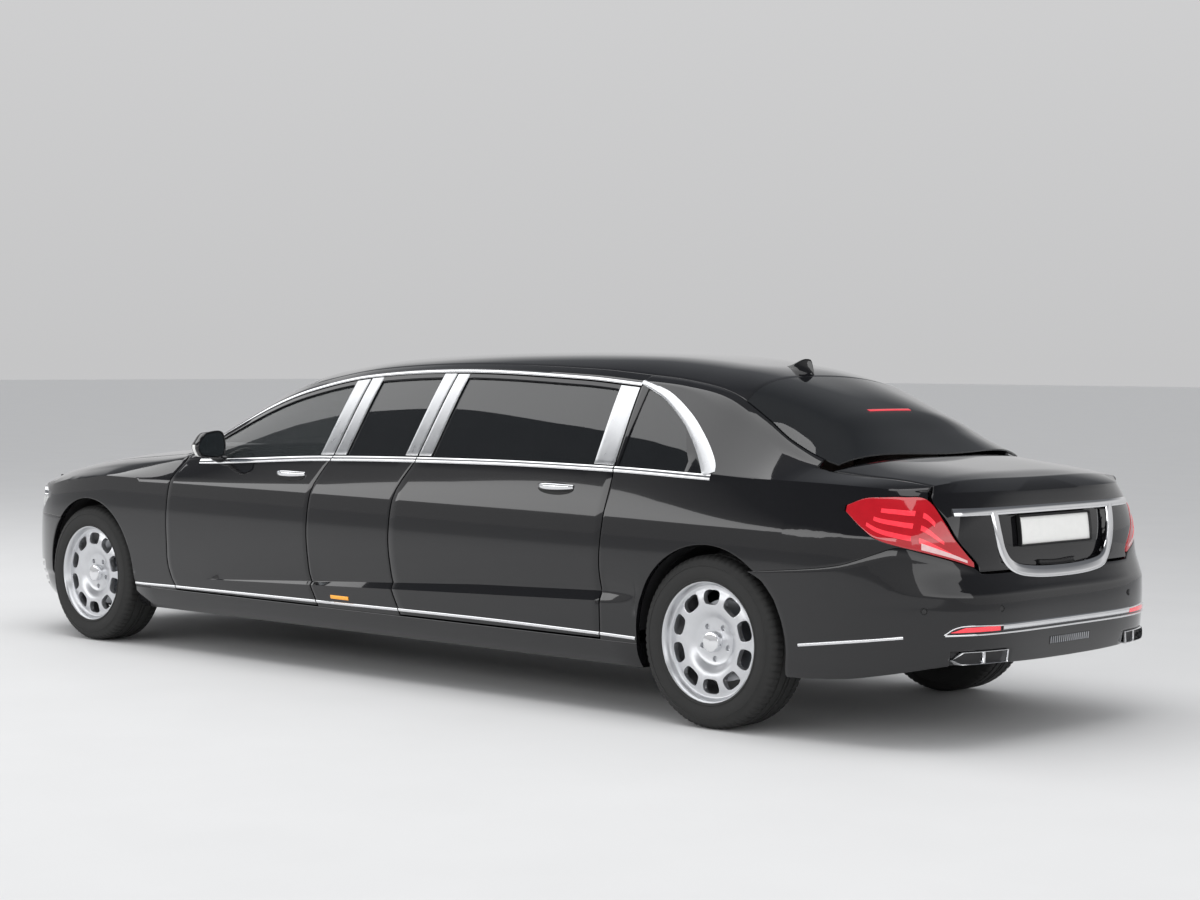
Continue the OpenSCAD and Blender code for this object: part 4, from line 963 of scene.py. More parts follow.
                row = [FORM.side(edge(k, x, z), z, d) for z in spread(breaks(x), self.low_rows)[:-1]]
                for t in share(x):
                    z = lerp(FORM.belt_z(x), FORM.rail_end, t)
                    at = edge(k, x, z)
                    p = FORM.upper(at, t, 0)
                    behind = x < r0 - reach
                    row.append((p[0], p[1] - (0 if behind else d), p[2] - (d if behind else 0)) if t
                               else FORM.upper(at, 0, d))
                rim = FORM.upper(edge(k, x, FORM.rail_end), 1, 0)
                out.append(row + [FORM.top(rim[0], rim[1] - s * (FORM.rail_w - 4), d) for s in (0.33, 0.66, 1)])
            return metres(out)
        n_low = sum(self.low_rows)
        hole = np.zeros((len(xs) - 1, n_low + 19), bool)
        hole[xs.index(FORM.stern_x(17)):, self.lamp_rows] = True
        for i in range(len(xs) - 1):
            mid = (xs[i] + xs[i + 1]) / 2
            hole[i, n_low:n_low + 10] = i >= 4 and mid > FORM.roof_end
            if mid < r0 - reach - 1:
                hole[i, n_low + 16:] = True
        panel = Bench.wall("quarter", grid(0), grid(self.skin), hole)
        Bench.bevel(panel, 0.002)
        Bench.pair(panel, "quarter_panel_{}", Kit.PAINT, BOTH, (("quarter_panels",), ()), PANEL_ANGLE)
        cols = [k for k in range(4, len(xs)) if xs[k] > r0 + 150]
        def glass(d: float) -> np.ndarray:
            """Points of the quarter window at a depth."""
            return metres([FORM.upper(edge(k, xs[k], lerp(FORM.belt_z(xs[k]), FORM.rail_end, t)), t, d)
                           for t in share(xs[k])[:11]] for k in cols)
        pane = Bench.wall("pane", glass(6), glass(11))
        Bench.pair(pane, "quarter_pane_{}", Kit.DARK_GLASS)

    def sills(self) -> None:
        """Sills under the doors, rolled under at the lower edge."""
        xs = spread((FORM.axle_f - FORM.arch_r, FORM.axle_r + FORM.arch_r), (24,))
        zs = spread((FORM.sill_top, 300, 250, 215), (3, 6, 6))
        outer = metres([FORM.side(x, z) for z in zs] for x in xs)
        inner = metres([(x, FORM.half_w - 190, z) for z in zs] for x in xs)
        sill = Bench.wall("sill", outer, inner)
        Bench.bevel(sill, 0.004)
        Bench.pair(sill, "sill_{}", Kit.PAINT, BOTH, (("sills",), ()))

    def arches(self) -> None:
        """Bands between the wheel liners and the skin over each wheel."""
        for name, axle in (("front", FORM.axle_f), ("rear", FORM.axle_r)):
            def grid(radius: float) -> np.ndarray:
                """Band of points at a radius about the axle."""
                out = []
                for a in spread((2, 178), (60,)):
                    x = axle + radius * math.cos(math.radians(a))
                    z = FORM.tyre_r + radius * math.sin(math.radians(a))
                    edge = FORM.side(x, z, self.skin - 3)[1]
                    out.append([(x, lerp(820, edge, s), z) for s in (0, 0.5, 1)])
                return metres(out)
            band = Bench.wall("band", grid(FORM.arch_r + 3), grid(FORM.arch_r + 14))
            Bench.pair(band, name + "_arch_band_{}", Kit.TRIM)

    def rails(self) -> None:
        """Windscreen pillars and roof rails."""
        start = FORM.cut_x(FORM.front_cut, FORM.belt_z(FORM.front_cut)) + 9
        end = FORM.last_x(FORM.rail_end) - FORM.shut_gap / 2
        xs = spread((start, end), (90,))
        def grid(d: float) -> np.ndarray:
            """Points of the skin at a depth."""
            out = []
            for x in xs:
                lip = FORM.upper_t(x, 18)
                row = [FORM.upper(x, t, 0) for t in (lip, lerp(lip, 1, 0.5), 1)]
                ry = FORM.curve(FORM.rail, x)
                row += [FORM.top(x, ry - s, 0) for s in (14, 28, 42, 55)]
                if d:
                    row = [(p[0], p[1] - d * (1 - k / 6), p[2] - d * min(k / 2, 1)) for k, p in enumerate(row)]
                out.append(row)
            return metres(out)
        rail = Bench.wall("rail", grid(0), grid(self.skin + 8))
        Bench.pair(rail, "roof_rail_{}", Kit.PAINT, BOTH, (("roof_rails",), ()), PANEL_ANGLE)

    def build(self) -> None:
        """All side pieces."""
        self.doors()
        self.wings()
        self.quarters()
        self.sills()
        self.arches()
        self.rails()


@dataclass
class CrossPanels:
    """Panels that span the car: bonnet, windscreen, roof, rear window and boot lid."""

    skin: float = 24
    across: int = 48

    def span(self, name: str, station: Callable[[float, float], float], rows: int, inside: float, thick: float,
             middle: Optional[list] = None) -> Piece:
        """Panel from a station function of (share, v).

        Args:
            name: name of the piece.
            station: station at a share of the length and the half width.
            rows: rows lengthwise.
            inside: distance from the rail.
            thick: thickness.
            middle: crown table.

        Returns:
            The panel.
        """
        def point(s: float, v: float, d: float) -> Point:
            """Point at a share of the length and of the half width."""
            x = station(s, v)
            return FORM.top(x, v * (FORM.curve(FORM.rail, x) - inside), d, middle)
        vs = [k / self.across * 2 - 1 for k in range(self.across + 1)]
        return Bench.shell(name, point, [k / rows for k in range(rows + 1)], vs, 0, thick)

    def cowl(self) -> Piece:
        """Slotted trim under the bonnet's rear edge, in front of the windscreen."""
        f, slots = FORM.axle_f, spread((0, 1), (12,))
        def point(v: float, k: int, d: float) -> Point:
            """Point of a slotted row; every third row lies lower."""
            x = lerp(f - 525 - 130 * v * v, f - 616 - 175 * v * v, slots[k])
            y = v * (FORM.curve(FORM.rail, x) - FORM.rail_w)
            return FORM.top(x, y, d + 32 + (4 if k % 3 == 1 else 0), FORM.bonnet_crown)
        return Bench.shell("cowl_trim", point, spread((-0.7, 0.7), (84,)), range(len(slots)), 0, 8)

    def lid_point(self, r: float, v: float, d: float) -> Point:
        """Point of the boot lid: rows 0 to 4 over the top, then down the rear face."""
        f = FORM
        if r <= 4:
            x = lerp(f.axle_r - 570 + 90 * v * v, f.axle_r - 999 + 50 * v * v, r / 4)
            return f.top(x, v * (f.curve(f.rail, x) - f.shut_gap), d, f.lid_crown)
        heights = (1018, 960, 900, 820, 740, 705)
        i = min(int(r - 5), 4)
        z = lerp(heights[i], heights[i + 1], r - 5 - i)
        a = lerp(90, f.curve(f.lid_edge, z), abs(v))
        x, y, z = f.side(f.stern_x(a), z, d)
        y = math.copysign(y, v)
        reach_in = clamp((410 - abs(y)) / 22) * clamp((930 - z) / 14) * clamp((z - 690 - 40 * (abs(y) / 400) ** 2) / 10)
        return (x + 26 * reach_in, y, z)

    def build(self) -> None:
        """All cross panels."""
        f, r = FORM.axle_f, FORM.axle_r
        seam = 0.4
        bonnet = self.span("bonnet", lambda s, v: lerp(FORM.x_front - 150 - 60 * v * v, f - 562 - 130 * v * v, s), 60,
                           FORM.shut_gap, self.skin, FORM.bonnet_crown)
        roof = self.span("roof", lambda s, v: lerp(FORM.roof_start - 110 * v * v, FORM.roof_end - 95 * v * v, s), 110,
                         FORM.rail_w + 1, self.skin)
        screen = self.span("windscreen", lambda s, v: lerp(f - 602 - 175 * v * v,
                                                           FORM.roof_start + seam - 110 * v * v, s), 40,
                           FORM.rail_w + 1, 6)
        back = self.span("rear_window", lambda s, v: lerp(FORM.roof_end - seam - 95 * v * v, r - 554 + 90 * v * v, s),
                         40, FORM.rail_w + 3, 6, FORM.glass_crown)
        Bench.finish(self.cowl(), Kit.TRIM)
        rs = spread((0, 4), (26,)) + spread((5, 10), (44,))
        lid = Bench.shell("boot_lid", self.lid_point, rs, spread((-1, 1), (72,)), 0, self.skin)
        for piece in (bonnet, roof, lid):
            Bench.bevel(piece, 0.0025)
        Bench.finish(bonnet, Kit.PAINT, "bonnet", ("bonnet",), PANEL_ANGLE)
        Bench.finish(roof, Kit.PAINT, "body", ("roof",), PANEL_ANGLE)
        Bench.finish(screen, Kit.GLASS, "body", ("windscreen",))
        Bench.finish(back, Kit.DARK_GLASS, "body", ("rear_window",))
        Bench.finish(lid, Kit.PAINT, "boot_lid", ("boot_lid",), PANEL_ANGLE)


def smooth(path: Sequence[Sequence[float]], steps: int = 8, closed: bool = False) -> np.ndarray:
    """Rounded path through points."""
    pts = np.array(path, float)
    n = len(pts)
    out = []
    for i in range(n if closed else n - 1):
        p0 = pts[(i - 1) % n] if closed or i else pts[0] * 2 - pts[1]
        p1, p2 = pts[i], pts[(i + 1) % n]
        p3 = pts[(i + 2) % n] if closed or i + 2 < n else p2 * 2 - p1
        for k in range(steps):
            t = k / steps
            out.append(0.5 * (2 * p1 + (p2 - p0) * t + (2 * p0 - 5 * p1 + 4 * p2 - p3) * t * t
                              + (3 * p1 - p0 - 3 * p2 + p3) * t ** 3))
    if not closed:
        out.append(pts[-1])
    return np.array(out)


def straight(path: Sequence[Sequence[float]], steps: int = 8) -> np.ndarray:
    """Path through points with straight pieces."""
    pts = np.array(path, float)
    return np.array([pts[i] + (pts[i + 1] - pts[i]) * k / steps for i in range(len(pts) - 1) for k in range(steps)]
                    + [pts[-1]])


class Trim:
    """Raised strips and patches that lie on a surface."""

    @staticmethod
    def side(x: float, z: float, d: float) -> Point:
        """Side of the body below and above the belt line."""
        belt = FORM.belt_z(x)
        if z <= belt:
            return FORM.side(x, z, d)
        return FORM.upper(x, (z - belt) / (FORM.curve(FORM.rail, x, 2) - belt), d)

    @staticmethod
    def end(y: float, z: float, d: float, station: Callable[[float], float], power: float) -> Point:
        """End face of the body at a half width and a height; the angle is found step by step."""
        a = 80.0
        for _ in range(8):
            wide = FORM.half_w - FORM.inset(station(a), z)
            a = math.degrees(math.acos(clamp((abs(y) / wide) ** power)))
        x, at, z = FORM.side(station(a), z, d)
        return (x, math.copysign(at, y), z)

    @classmethod
    def tail(cls, y: float, z: float, d: float) -> Point:
        """Rear face of the body at a half width and a height."""
        return cls.end(y, z, d, FORM.stern_x, 2)

    @classmethod
    def nose(cls, y: float, z: float, d: float) -> Point:
        """Front face of the body at a half width and a height."""
        return cls.end(y, z, d, FORM.bow_x, 1.5)

    @classmethod
    def outward(cls, surface: Surface, u: float, v: float, depth: float = 0.0) -> tuple[np.ndarray, np.ndarray]:
        """Place on a surface in metres and the direction out of it."""
        place = np.array(surface(u, v, depth))
        out = np.array(surface(u, v, -10)) - place
        return place * MM, out / np.linalg.norm(out)

    @staticmethod
    def ribbon(name: str, path: np.ndarray, width: Any, proud: float, surface: Surface, closed: bool = False,
               sink: float = 2.0, across: int = 6, start: Optional[Callable[[float], float]] = None,
               end: Optional[Callable[[float], float]] = None) -> Piece:
        """Strip with a rounded face along a path in the surface's own two coordinates.

        Args:
            name: piece name.
            path: points in order, two columns.
            width: one width or one for each point.
            proud: height of its middle above the surface.
            surface: gives the place of two coordinates and a depth.
            closed: True for a loop.
            sink: depth of its foot below the surface.
            across: cells across.
            start: first coordinate of the strip's first end, by the second, for an end on a shut line.
            end: the same for its last end.

        Returns:
            The strip.
        """
        pts = np.vstack([path, path[:1]]) if closed else path
        ahead = np.gradient(pts, axis=0)
        if closed:
            ahead[0] = ahead[-1] = pts[1] - pts[-2]
        ahead /= np.maximum(np.linalg.norm(ahead, axis=1), 1e-9)[:, None]
        normal = np.stack([-ahead[:, 1], ahead[:, 0]], axis=1)
        wide = np.broadcast_to(np.asarray(width, float), (len(pts),))
        outer, inner = [], []
        for i, (p, n, w) in enumerate(zip(pts, normal, wide)):
            top, foot = [], []
            for k in range(across + 1):
                s = 2 * k / across - 1
                u, v = p + n * w / 2 * s
                if start and i == 0:
                    u = start(v)
                if end and i == len(pts) - 1:
                    u = end(v)
                top.append(surface(u, v, -proud * (1 - 0.75 * s ** 4)))
                foot.append(surface(u, v, sink))
            outer.append(top)
            inner.append(foot)
        obj = Bench.wall(name, metres(outer), metres(inner))
        if closed:
            Bench.edit(obj, lambda: bpy.ops.mesh.remove_doubles(threshold=1e-5),
                       Bench.outward)
        return obj

    @staticmethod
    def patch(name: str, us: Sequence[float], shares: Sequence[float],
              span: Callable[[float, float], tuple[float, float]], surface: Surface, proud: float,
              sink: float) -> Piece:
        """Patch of a surface: span gives the two coordinates at a column and a share of its height."""
        return Bench.shell(name, lambda u, s, d: surface(*span(u, s), d), us, shares, -proud, sink)


@dataclass
class Bumpers:
    """Front and rear bumpers, the grille and the front lamps."""

    skin: float = 24
    grille_low: float = 470.4
    grille_high: float = 836
    slats: int = 17
    lead: int = 6
    notch: tuple = (53.65, 77.07)
    intake_z: tuple = (262, 400)
    side_intake: tuple = (30, 52)
    middle_intake: float = 60
    grille_angle: float = 69

    @staticmethod
    def halves(left: list[list[Point]]) -> np.ndarray:
        """Columns of the left half and their mirror images, in metres."""
        return metres(left + [[(x, -y, z) for x, y, z in row] for row in reversed(left[:-1])])

    def wrap(self, name: str, half: list[float], column: Callable[[int, float], list[Point]],
             opening: Callable[[float], np.ndarray]) -> None:
        """Bumper from the left wheel arch round to the right one.

        Args:
            name: name of the piece and of the solid that it stands for.
            half: angles of the columns of the left half, after those that lead in from the arch.
            column: points of a column at a depth.
            opening: rows that are open at an angle.
        """
        grid = lambda d: self.halves([column(k, d) for k in range(self.lead + len(half))])
        angles = [0.0] * self.lead + half
        angles += angles[-2::-1]
        hole = np.array([opening((a + b) / 2) for a, b in zip(angles, angles[1:])])
        bumper = Bench.wall(name, grid(0), grid(self.skin), hole)
        Bench.bevel(bumper, 0.003)
        Bench.finish(bumper, Kit.PAINT, "body", (name,), PANEL_ANGLE)

    def rear(self) -> None:
        """Rear bumper with its ledge and the notches over the exhaust tips."""
        first, last = self.notch
        half = spread((10, 17, 28, 36, 46, first, 62, 69, last, 90), (3, 5, 4, 5, 4, 4, 4, 4, 6))
        def column(k: int, d: float) -> list[Point]:
            """One column of the bumper at a depth."""
            out = []
            for j in range(33):
                a = half[max(k - self.lead, 0)]
                def height(angle: float) -> float:
                    """Height of a row at an angle."""
                    zs = (FORM.curve(FORM.stern_low, angle), 399, 470, 606, 640, FORM.curve(FORM.stern_top, angle))
                    i = min(j // 7, 4) if j < 28 else 4
                    return lerp(zs[i], zs[i + 1], (j - 7 * i) / (7 if i < 4 else 4))
                z = height(a)
                if k < self.lead:
                    edge = FORM.axle_r - math.sqrt(max(FORM.arch_r ** 2 - (z - FORM.tyre_r) ** 2, 0)) - 1
                    x = lerp(edge, FORM.stern_x(a), k / self.lead)
                    z = height(FORM.stern_angle(x))
                else:
                    x = FORM.stern_x(a)
                out.append(FORM.side(x, z, d))
            return out
        self.wrap("rear_bumper", half, column, lambda a: (first < a < last) & (np.arange(32) < 7))

    def front(self) -> None:
        """Front bumper with the grille's opening and the lower intakes."""
        first, last = self.side_intake
        low, high = self.intake_z
        half = spread((24, first, 40, last, self.middle_intake, self.grille_angle, 80, 90), (4, 4, 5, 4, 5, 5, 5))
        zs = (210, 245, low, 330, high, 415, 470, 540, 606)
        counts = (3, 2, 6, 6, 2, 5, 5, 5, 4)
        total = sum(counts)
        def height(j: int, a: float) -> float:
            """Height of a row at an angle."""
            rows = zs + (FORM.curve(FORM.bow_top, a),)
            for i, n in enumerate(counts):
                if j <= n:
                    return lerp(rows[i], rows[i + 1], j / n)
                j -= n
            return rows[-1]
        def column(k: int, d: float) -> list[Point]:
            """One column of the bumper at a depth."""
            out = []
            for j in range(total + 1):
                a = half[max(k - self.lead, 0)]
                z, x = height(j, a), FORM.bow_x(a)
                if k < self.lead:
                    edge = FORM.axle_f + math.sqrt(max(FORM.arch_r ** 2 - (z - FORM.tyre_r) ** 2, 0)) + 1
                    x = lerp(edge, x, k / self.lead)
                    z = height(j, max(FORM.bow_angle(x), 2))
                out.append(FORM.side(x, z, d))
            return out
        rows = np.array([height(j, 45) for j in range(total + 1)])
        rows = (rows[1:] + rows[:-1]) / 2
        intake = (rows > low) & (rows < high)
        self.wrap("front_bumper", half, column, lambda a: ((a > self.grille_angle) & (rows > 470))
                  | ((a > self.middle_intake or first < a < last) & intake))
        for name, span in (("middle_intake_mesh", (self.middle_intake, 180 - self.middle_intake)),
                           ("left_intake_mesh", (first, last)), ("right_intake_mesh", (180 - last, 180 - first))):
            us = spread(span, (24,))
            mesh = Trim.patch(name, us, (0, 0.5, 1), lambda a, s: (a, lerp(low, high, s)), self.round_nose, -20, 26)
            Bench.finish(mesh, Kit.TRIM)
            bars = [Trim.ribbon("bar", straight([(span[0], z), (span[1], z)], 24), 10, -6, self.round_nose, sink=20)
                    for z in (290, 330, 370)]
            Bench.finish(Bench.join(name.replace("mesh", "bars"), bars), Kit.CHROME)

    @staticmethod
    def round_nose(a: float, z: float, d: float) -> Point:
        """Nose surface by an angle from 0 to 180 degrees."""
        x, y, z = FORM.side(FORM.bow_x(min(a, 180 - a)), z, d)
        return (x, y if a <= 90 else -y, z)

    def grille(self) -> None:
        """Radiator grille: dark backing, upright slats and a bright frame."""
        lo, hi = self.grille_low, self.grille_high
        us = spread((70, 110), (30,))
        back = Trim.patch("grille_backing", us, [k / 16 for k in range(17)], lambda a, s: (a, lerp(lo, hi, s)),
                          self.round_nose, -26, 34)
        Bench.finish(back, Kit.TRIM, "body", ("grille",))
        slats = [Trim.ribbon("slat", straight([(y, lo + 14), (y, hi - 14)], 14), 13, -4, Trim.nose, sink=27)
                 for y in spread((-405, 405), (self.slats - 1,))]
        slats += [Trim.ribbon("cross", level(spread((-430, 430), (40,)), z), 9, -1, Trim.nose, sink=20)
                  for z in (560, 650, 740)]
        Bench.finish(Bench.join("grille_slats", slats), Kit.CHROME)
        corners = [(-432, lo + 10), (0, lo + 8), (432, lo + 10), (444, 560), (442, 740), (430, hi - 12), (0, hi - 8),
                   (-430, hi - 12), (-442, 740), (-444, 560)]
        rim = Trim.ribbon("grille_frame", smooth(corners, 12, True), 26, 6, Trim.nose, True, 10)
        Bench.finish(rim, Kit.CHROME)

    def bridge(self) -> None:
        """Painted lip between the bonnet's front edge and the grille and lamps."""
        ys = spread((-640, 640), (64,))
        def grid(d: float) -> np.ndarray:
            """Points of the skin at a depth."""
            out = []
            for y in ys:
                foot = np.array(Trim.nose(y, lerp(838, 829, clamp((abs(y) - 440) / 30)), d))
                x = FORM.x_front - 144 - 60 * (y / 560) ** 2
                head = np.array(FORM.top(x, y, d + 1, FORM.bonnet_crown))
                knee = np.array((lerp(foot[0], head[0], 0.25), y, lerp(foot[2], head[2], 0.75)))
                out.append([tuple(foot * (1 - t) ** 2 + 2 * knee * t * (1 - t) + head * t * t)
                            for t in spread((0, 1), (8,))])
            return metres(out)
        lip = Bench.wall("nose_lip", grid(0), grid(14))
        Bench.finish(lip, Kit.PAINT)

    def head_lamps(self) -> None:
        """Head lamps: clear lens over a dark bowl with two projectors and a light band."""
        us = spread((26.3, 31, 38, 47, 58, 68.6), (4, 5, 6, 7, 6))
        place = lambda a, z, d: FORM.side(FORM.bow_x(a), z, d)
        span = lambda a, s: (a, lerp(FORM.curve(FORM.head_lamp, a) + 1, FORM.curve(FORM.head_lamp, a, 2) - 1, s))
        shares = [k / 12 for k in range(13)]
        lens = Trim.patch("lens", us, shares, span, place, 0, 5)
        Bench.pair(lens, "head_lamp_lens_{}", Kit.CLEAR, BOTH, (("head_lamps",), ()))
        bowl = Trim.patch("bowl", us, shares, span, place, -22, 40)
        Bench.pair(bowl, "head_lamp_bowl_{}", Kit.TRIM)
        band = Trim.ribbon("band", np.array([span(a, 0.16) for a in us]), 16, -8, place, sink=24)
        Bench.pair(band, "head_lamp_band_{}", Kit.PLATE)
        rings = []
        for a, s in ((44, 0.56), (56, 0.56)):
            ring = [(0.052, 0.0), (0.050, 0.008), (0.044, 0.008), (0.040, -0.012), (0.030, -0.004), (0.012, 0.004),
                    (0.0, 0.006), (0.0, -0.03), (0.052, -0.03)]
            rings.append(Bench.lathe("projector", ring, *Trim.outward(place, *span(a, s), 8), 40))
        Bench.pair(Bench.join("projectors", rings), "head_lamp_projectors_{}", Kit.CHROME)

    def build(self) -> None:
        """All pieces."""
        self.rear()
        self.front()
        self.grille()
        self.bridge()
        self.head_lamps()


@dataclass
class BrightTrim:
    """Bright strips along the side and the satin pillar covers."""

    def covers(self) -> None:
        """Satin covers on the pillars between the windows."""
        p = SidePanels()
        front, mid, rear = FORM.front_cut, FORM.mid_cut, FORM.rear_cut
        rows = (("b_pillar_cover_{}", front, mid, (p.front_cols[6], 1), p.door_lip, FRONT_DOORS),
                ("b_pillar_rear_cover_{}", mid, rear, (0, p.mid_cols[1]), p.mid_lip, BOTH),
                ("c_pillar_front_cover_{}", mid, rear, (p.mid_cols[3], 1), p.mid_lip, BOTH),
                ("c_pillar_cover_{}", rear, None, (0, p.rear_cols[1]), p.door_lip, REAR_DOORS),
                ("d_pillar_cover_{}", rear, None, (p.rear_cols[5], 1), p.door_lip, REAR_DOORS))
        for name, a, b, span, lip, bodies in rows:
            cs = spread(span, (6,))
            rs = spread((7.06, 9, 10), (16, 3))
            gap = FORM.shut_gap / 2 + 1
            cover = Bench.shell("cover", lambda c, r, d: FORM.panel(a, b, c, r, 0, lip, gap, d), cs, rs, -1.6, 3)
            Bench.bevel(cover, 0.0012)
            Bench.pair(cover, name, Kit.SATIN, bodies)

    def lines(self) -> None:
        """Belt strip, sill strip and roof strip, each piece riding with its panel."""
        f = FORM
        gap = f.shut_gap / 2
        seams = [lambda z, cut=cut: f.cut_x(cut, z) for cut in (f.front_cut, f.mid_cut, f.rear_cut)] + [f.last_x]
        starts = [None] + [lambda z, seam=seam: seam(z) - gap for seam in seams]
        ends = [lambda z, seam=seam: seam(z) + gap for seam in seams] + [None]
        names = ("wing", "front_door", "mid", "rear_door", "quarter")
        sill = [(1960, 338), (1844, 338), (1539, 342), (452, 349), (-711, 355), (-1448, 349), (-1674, 345)]
        for name, start, end, bodies in zip(names, starts, ends, (BOTH, FRONT_DOORS, BOTH, REAR_DOORS, BOTH)):
            z = 346
            a = start(z) if start else f.axle_f - f.arch_r - 6
            b = end(z) if end else f.axle_r + f.arch_r + 6
            path = np.array([(x, f.curve(sill, x)) for x in spread((a, b), (30,))])
            strip = Trim.ribbon("strip", path, 13, 4, Trim.side, start=start, end=end)
            Bench.pair(strip, name + "_sill_strip_{}", Kit.CHROME, bodies)
            if name == "wing":
                continue
            z = f.belt_z((a + b) / 2)
            a = start(z) if name != "front_door" else 1405
            b = end(z) if end else f.axle_r + 24
            path = np.array([(x, f.belt_z(x) - 8) for x in spread((a, b), (40,))])
            strip = Trim.ribbon("strip", path, 24, 5, Trim.side, start=start if name != "front_door" else None, end=end)
            Bench.pair(strip, name + "_belt_strip_{}", Kit.CHROME, bodies)
        begin = f.cut_x(f.front_cut, f.belt_z(f.front_cut)) - 60
        stop = f.last_x(f.rail_end) - gap
        path = np.array([(x, f.curve(f.rail, x, 2) - 10) for x in spread((begin, stop), (100,))])
        below = lambda x, z, d: f.upper(x, f.upper_t(x, f.curve(f.rail, x, 2) - z), d)
        strip = Trim.ribbon("strip", path, 15, 4, below)
        Bench.pair(strip, "roof_strip_{}", Kit.CHROME)
        hoop = smooth([(stop + 2, 1440), (-1558, 1413), (-1665, 1372), (-1820, 1281), (-1943, 1181), (-2026, 1094),
                       (-2043, 1060)], 8)
        wide = np.interp(np.linspace(0, 1, len(hoop)), [0, 0.25, 0.5, 0.8, 1], [18, 30, 45, 64, 66])
        strip = Trim.ribbon("strip", hoop, wide, 5, Trim.side)
        Bench.pair(strip, "quarter_window_strip_{}", Kit.SATIN)

    def build(self) -> None:
        """All strips."""
        self.covers()
        self.lines()


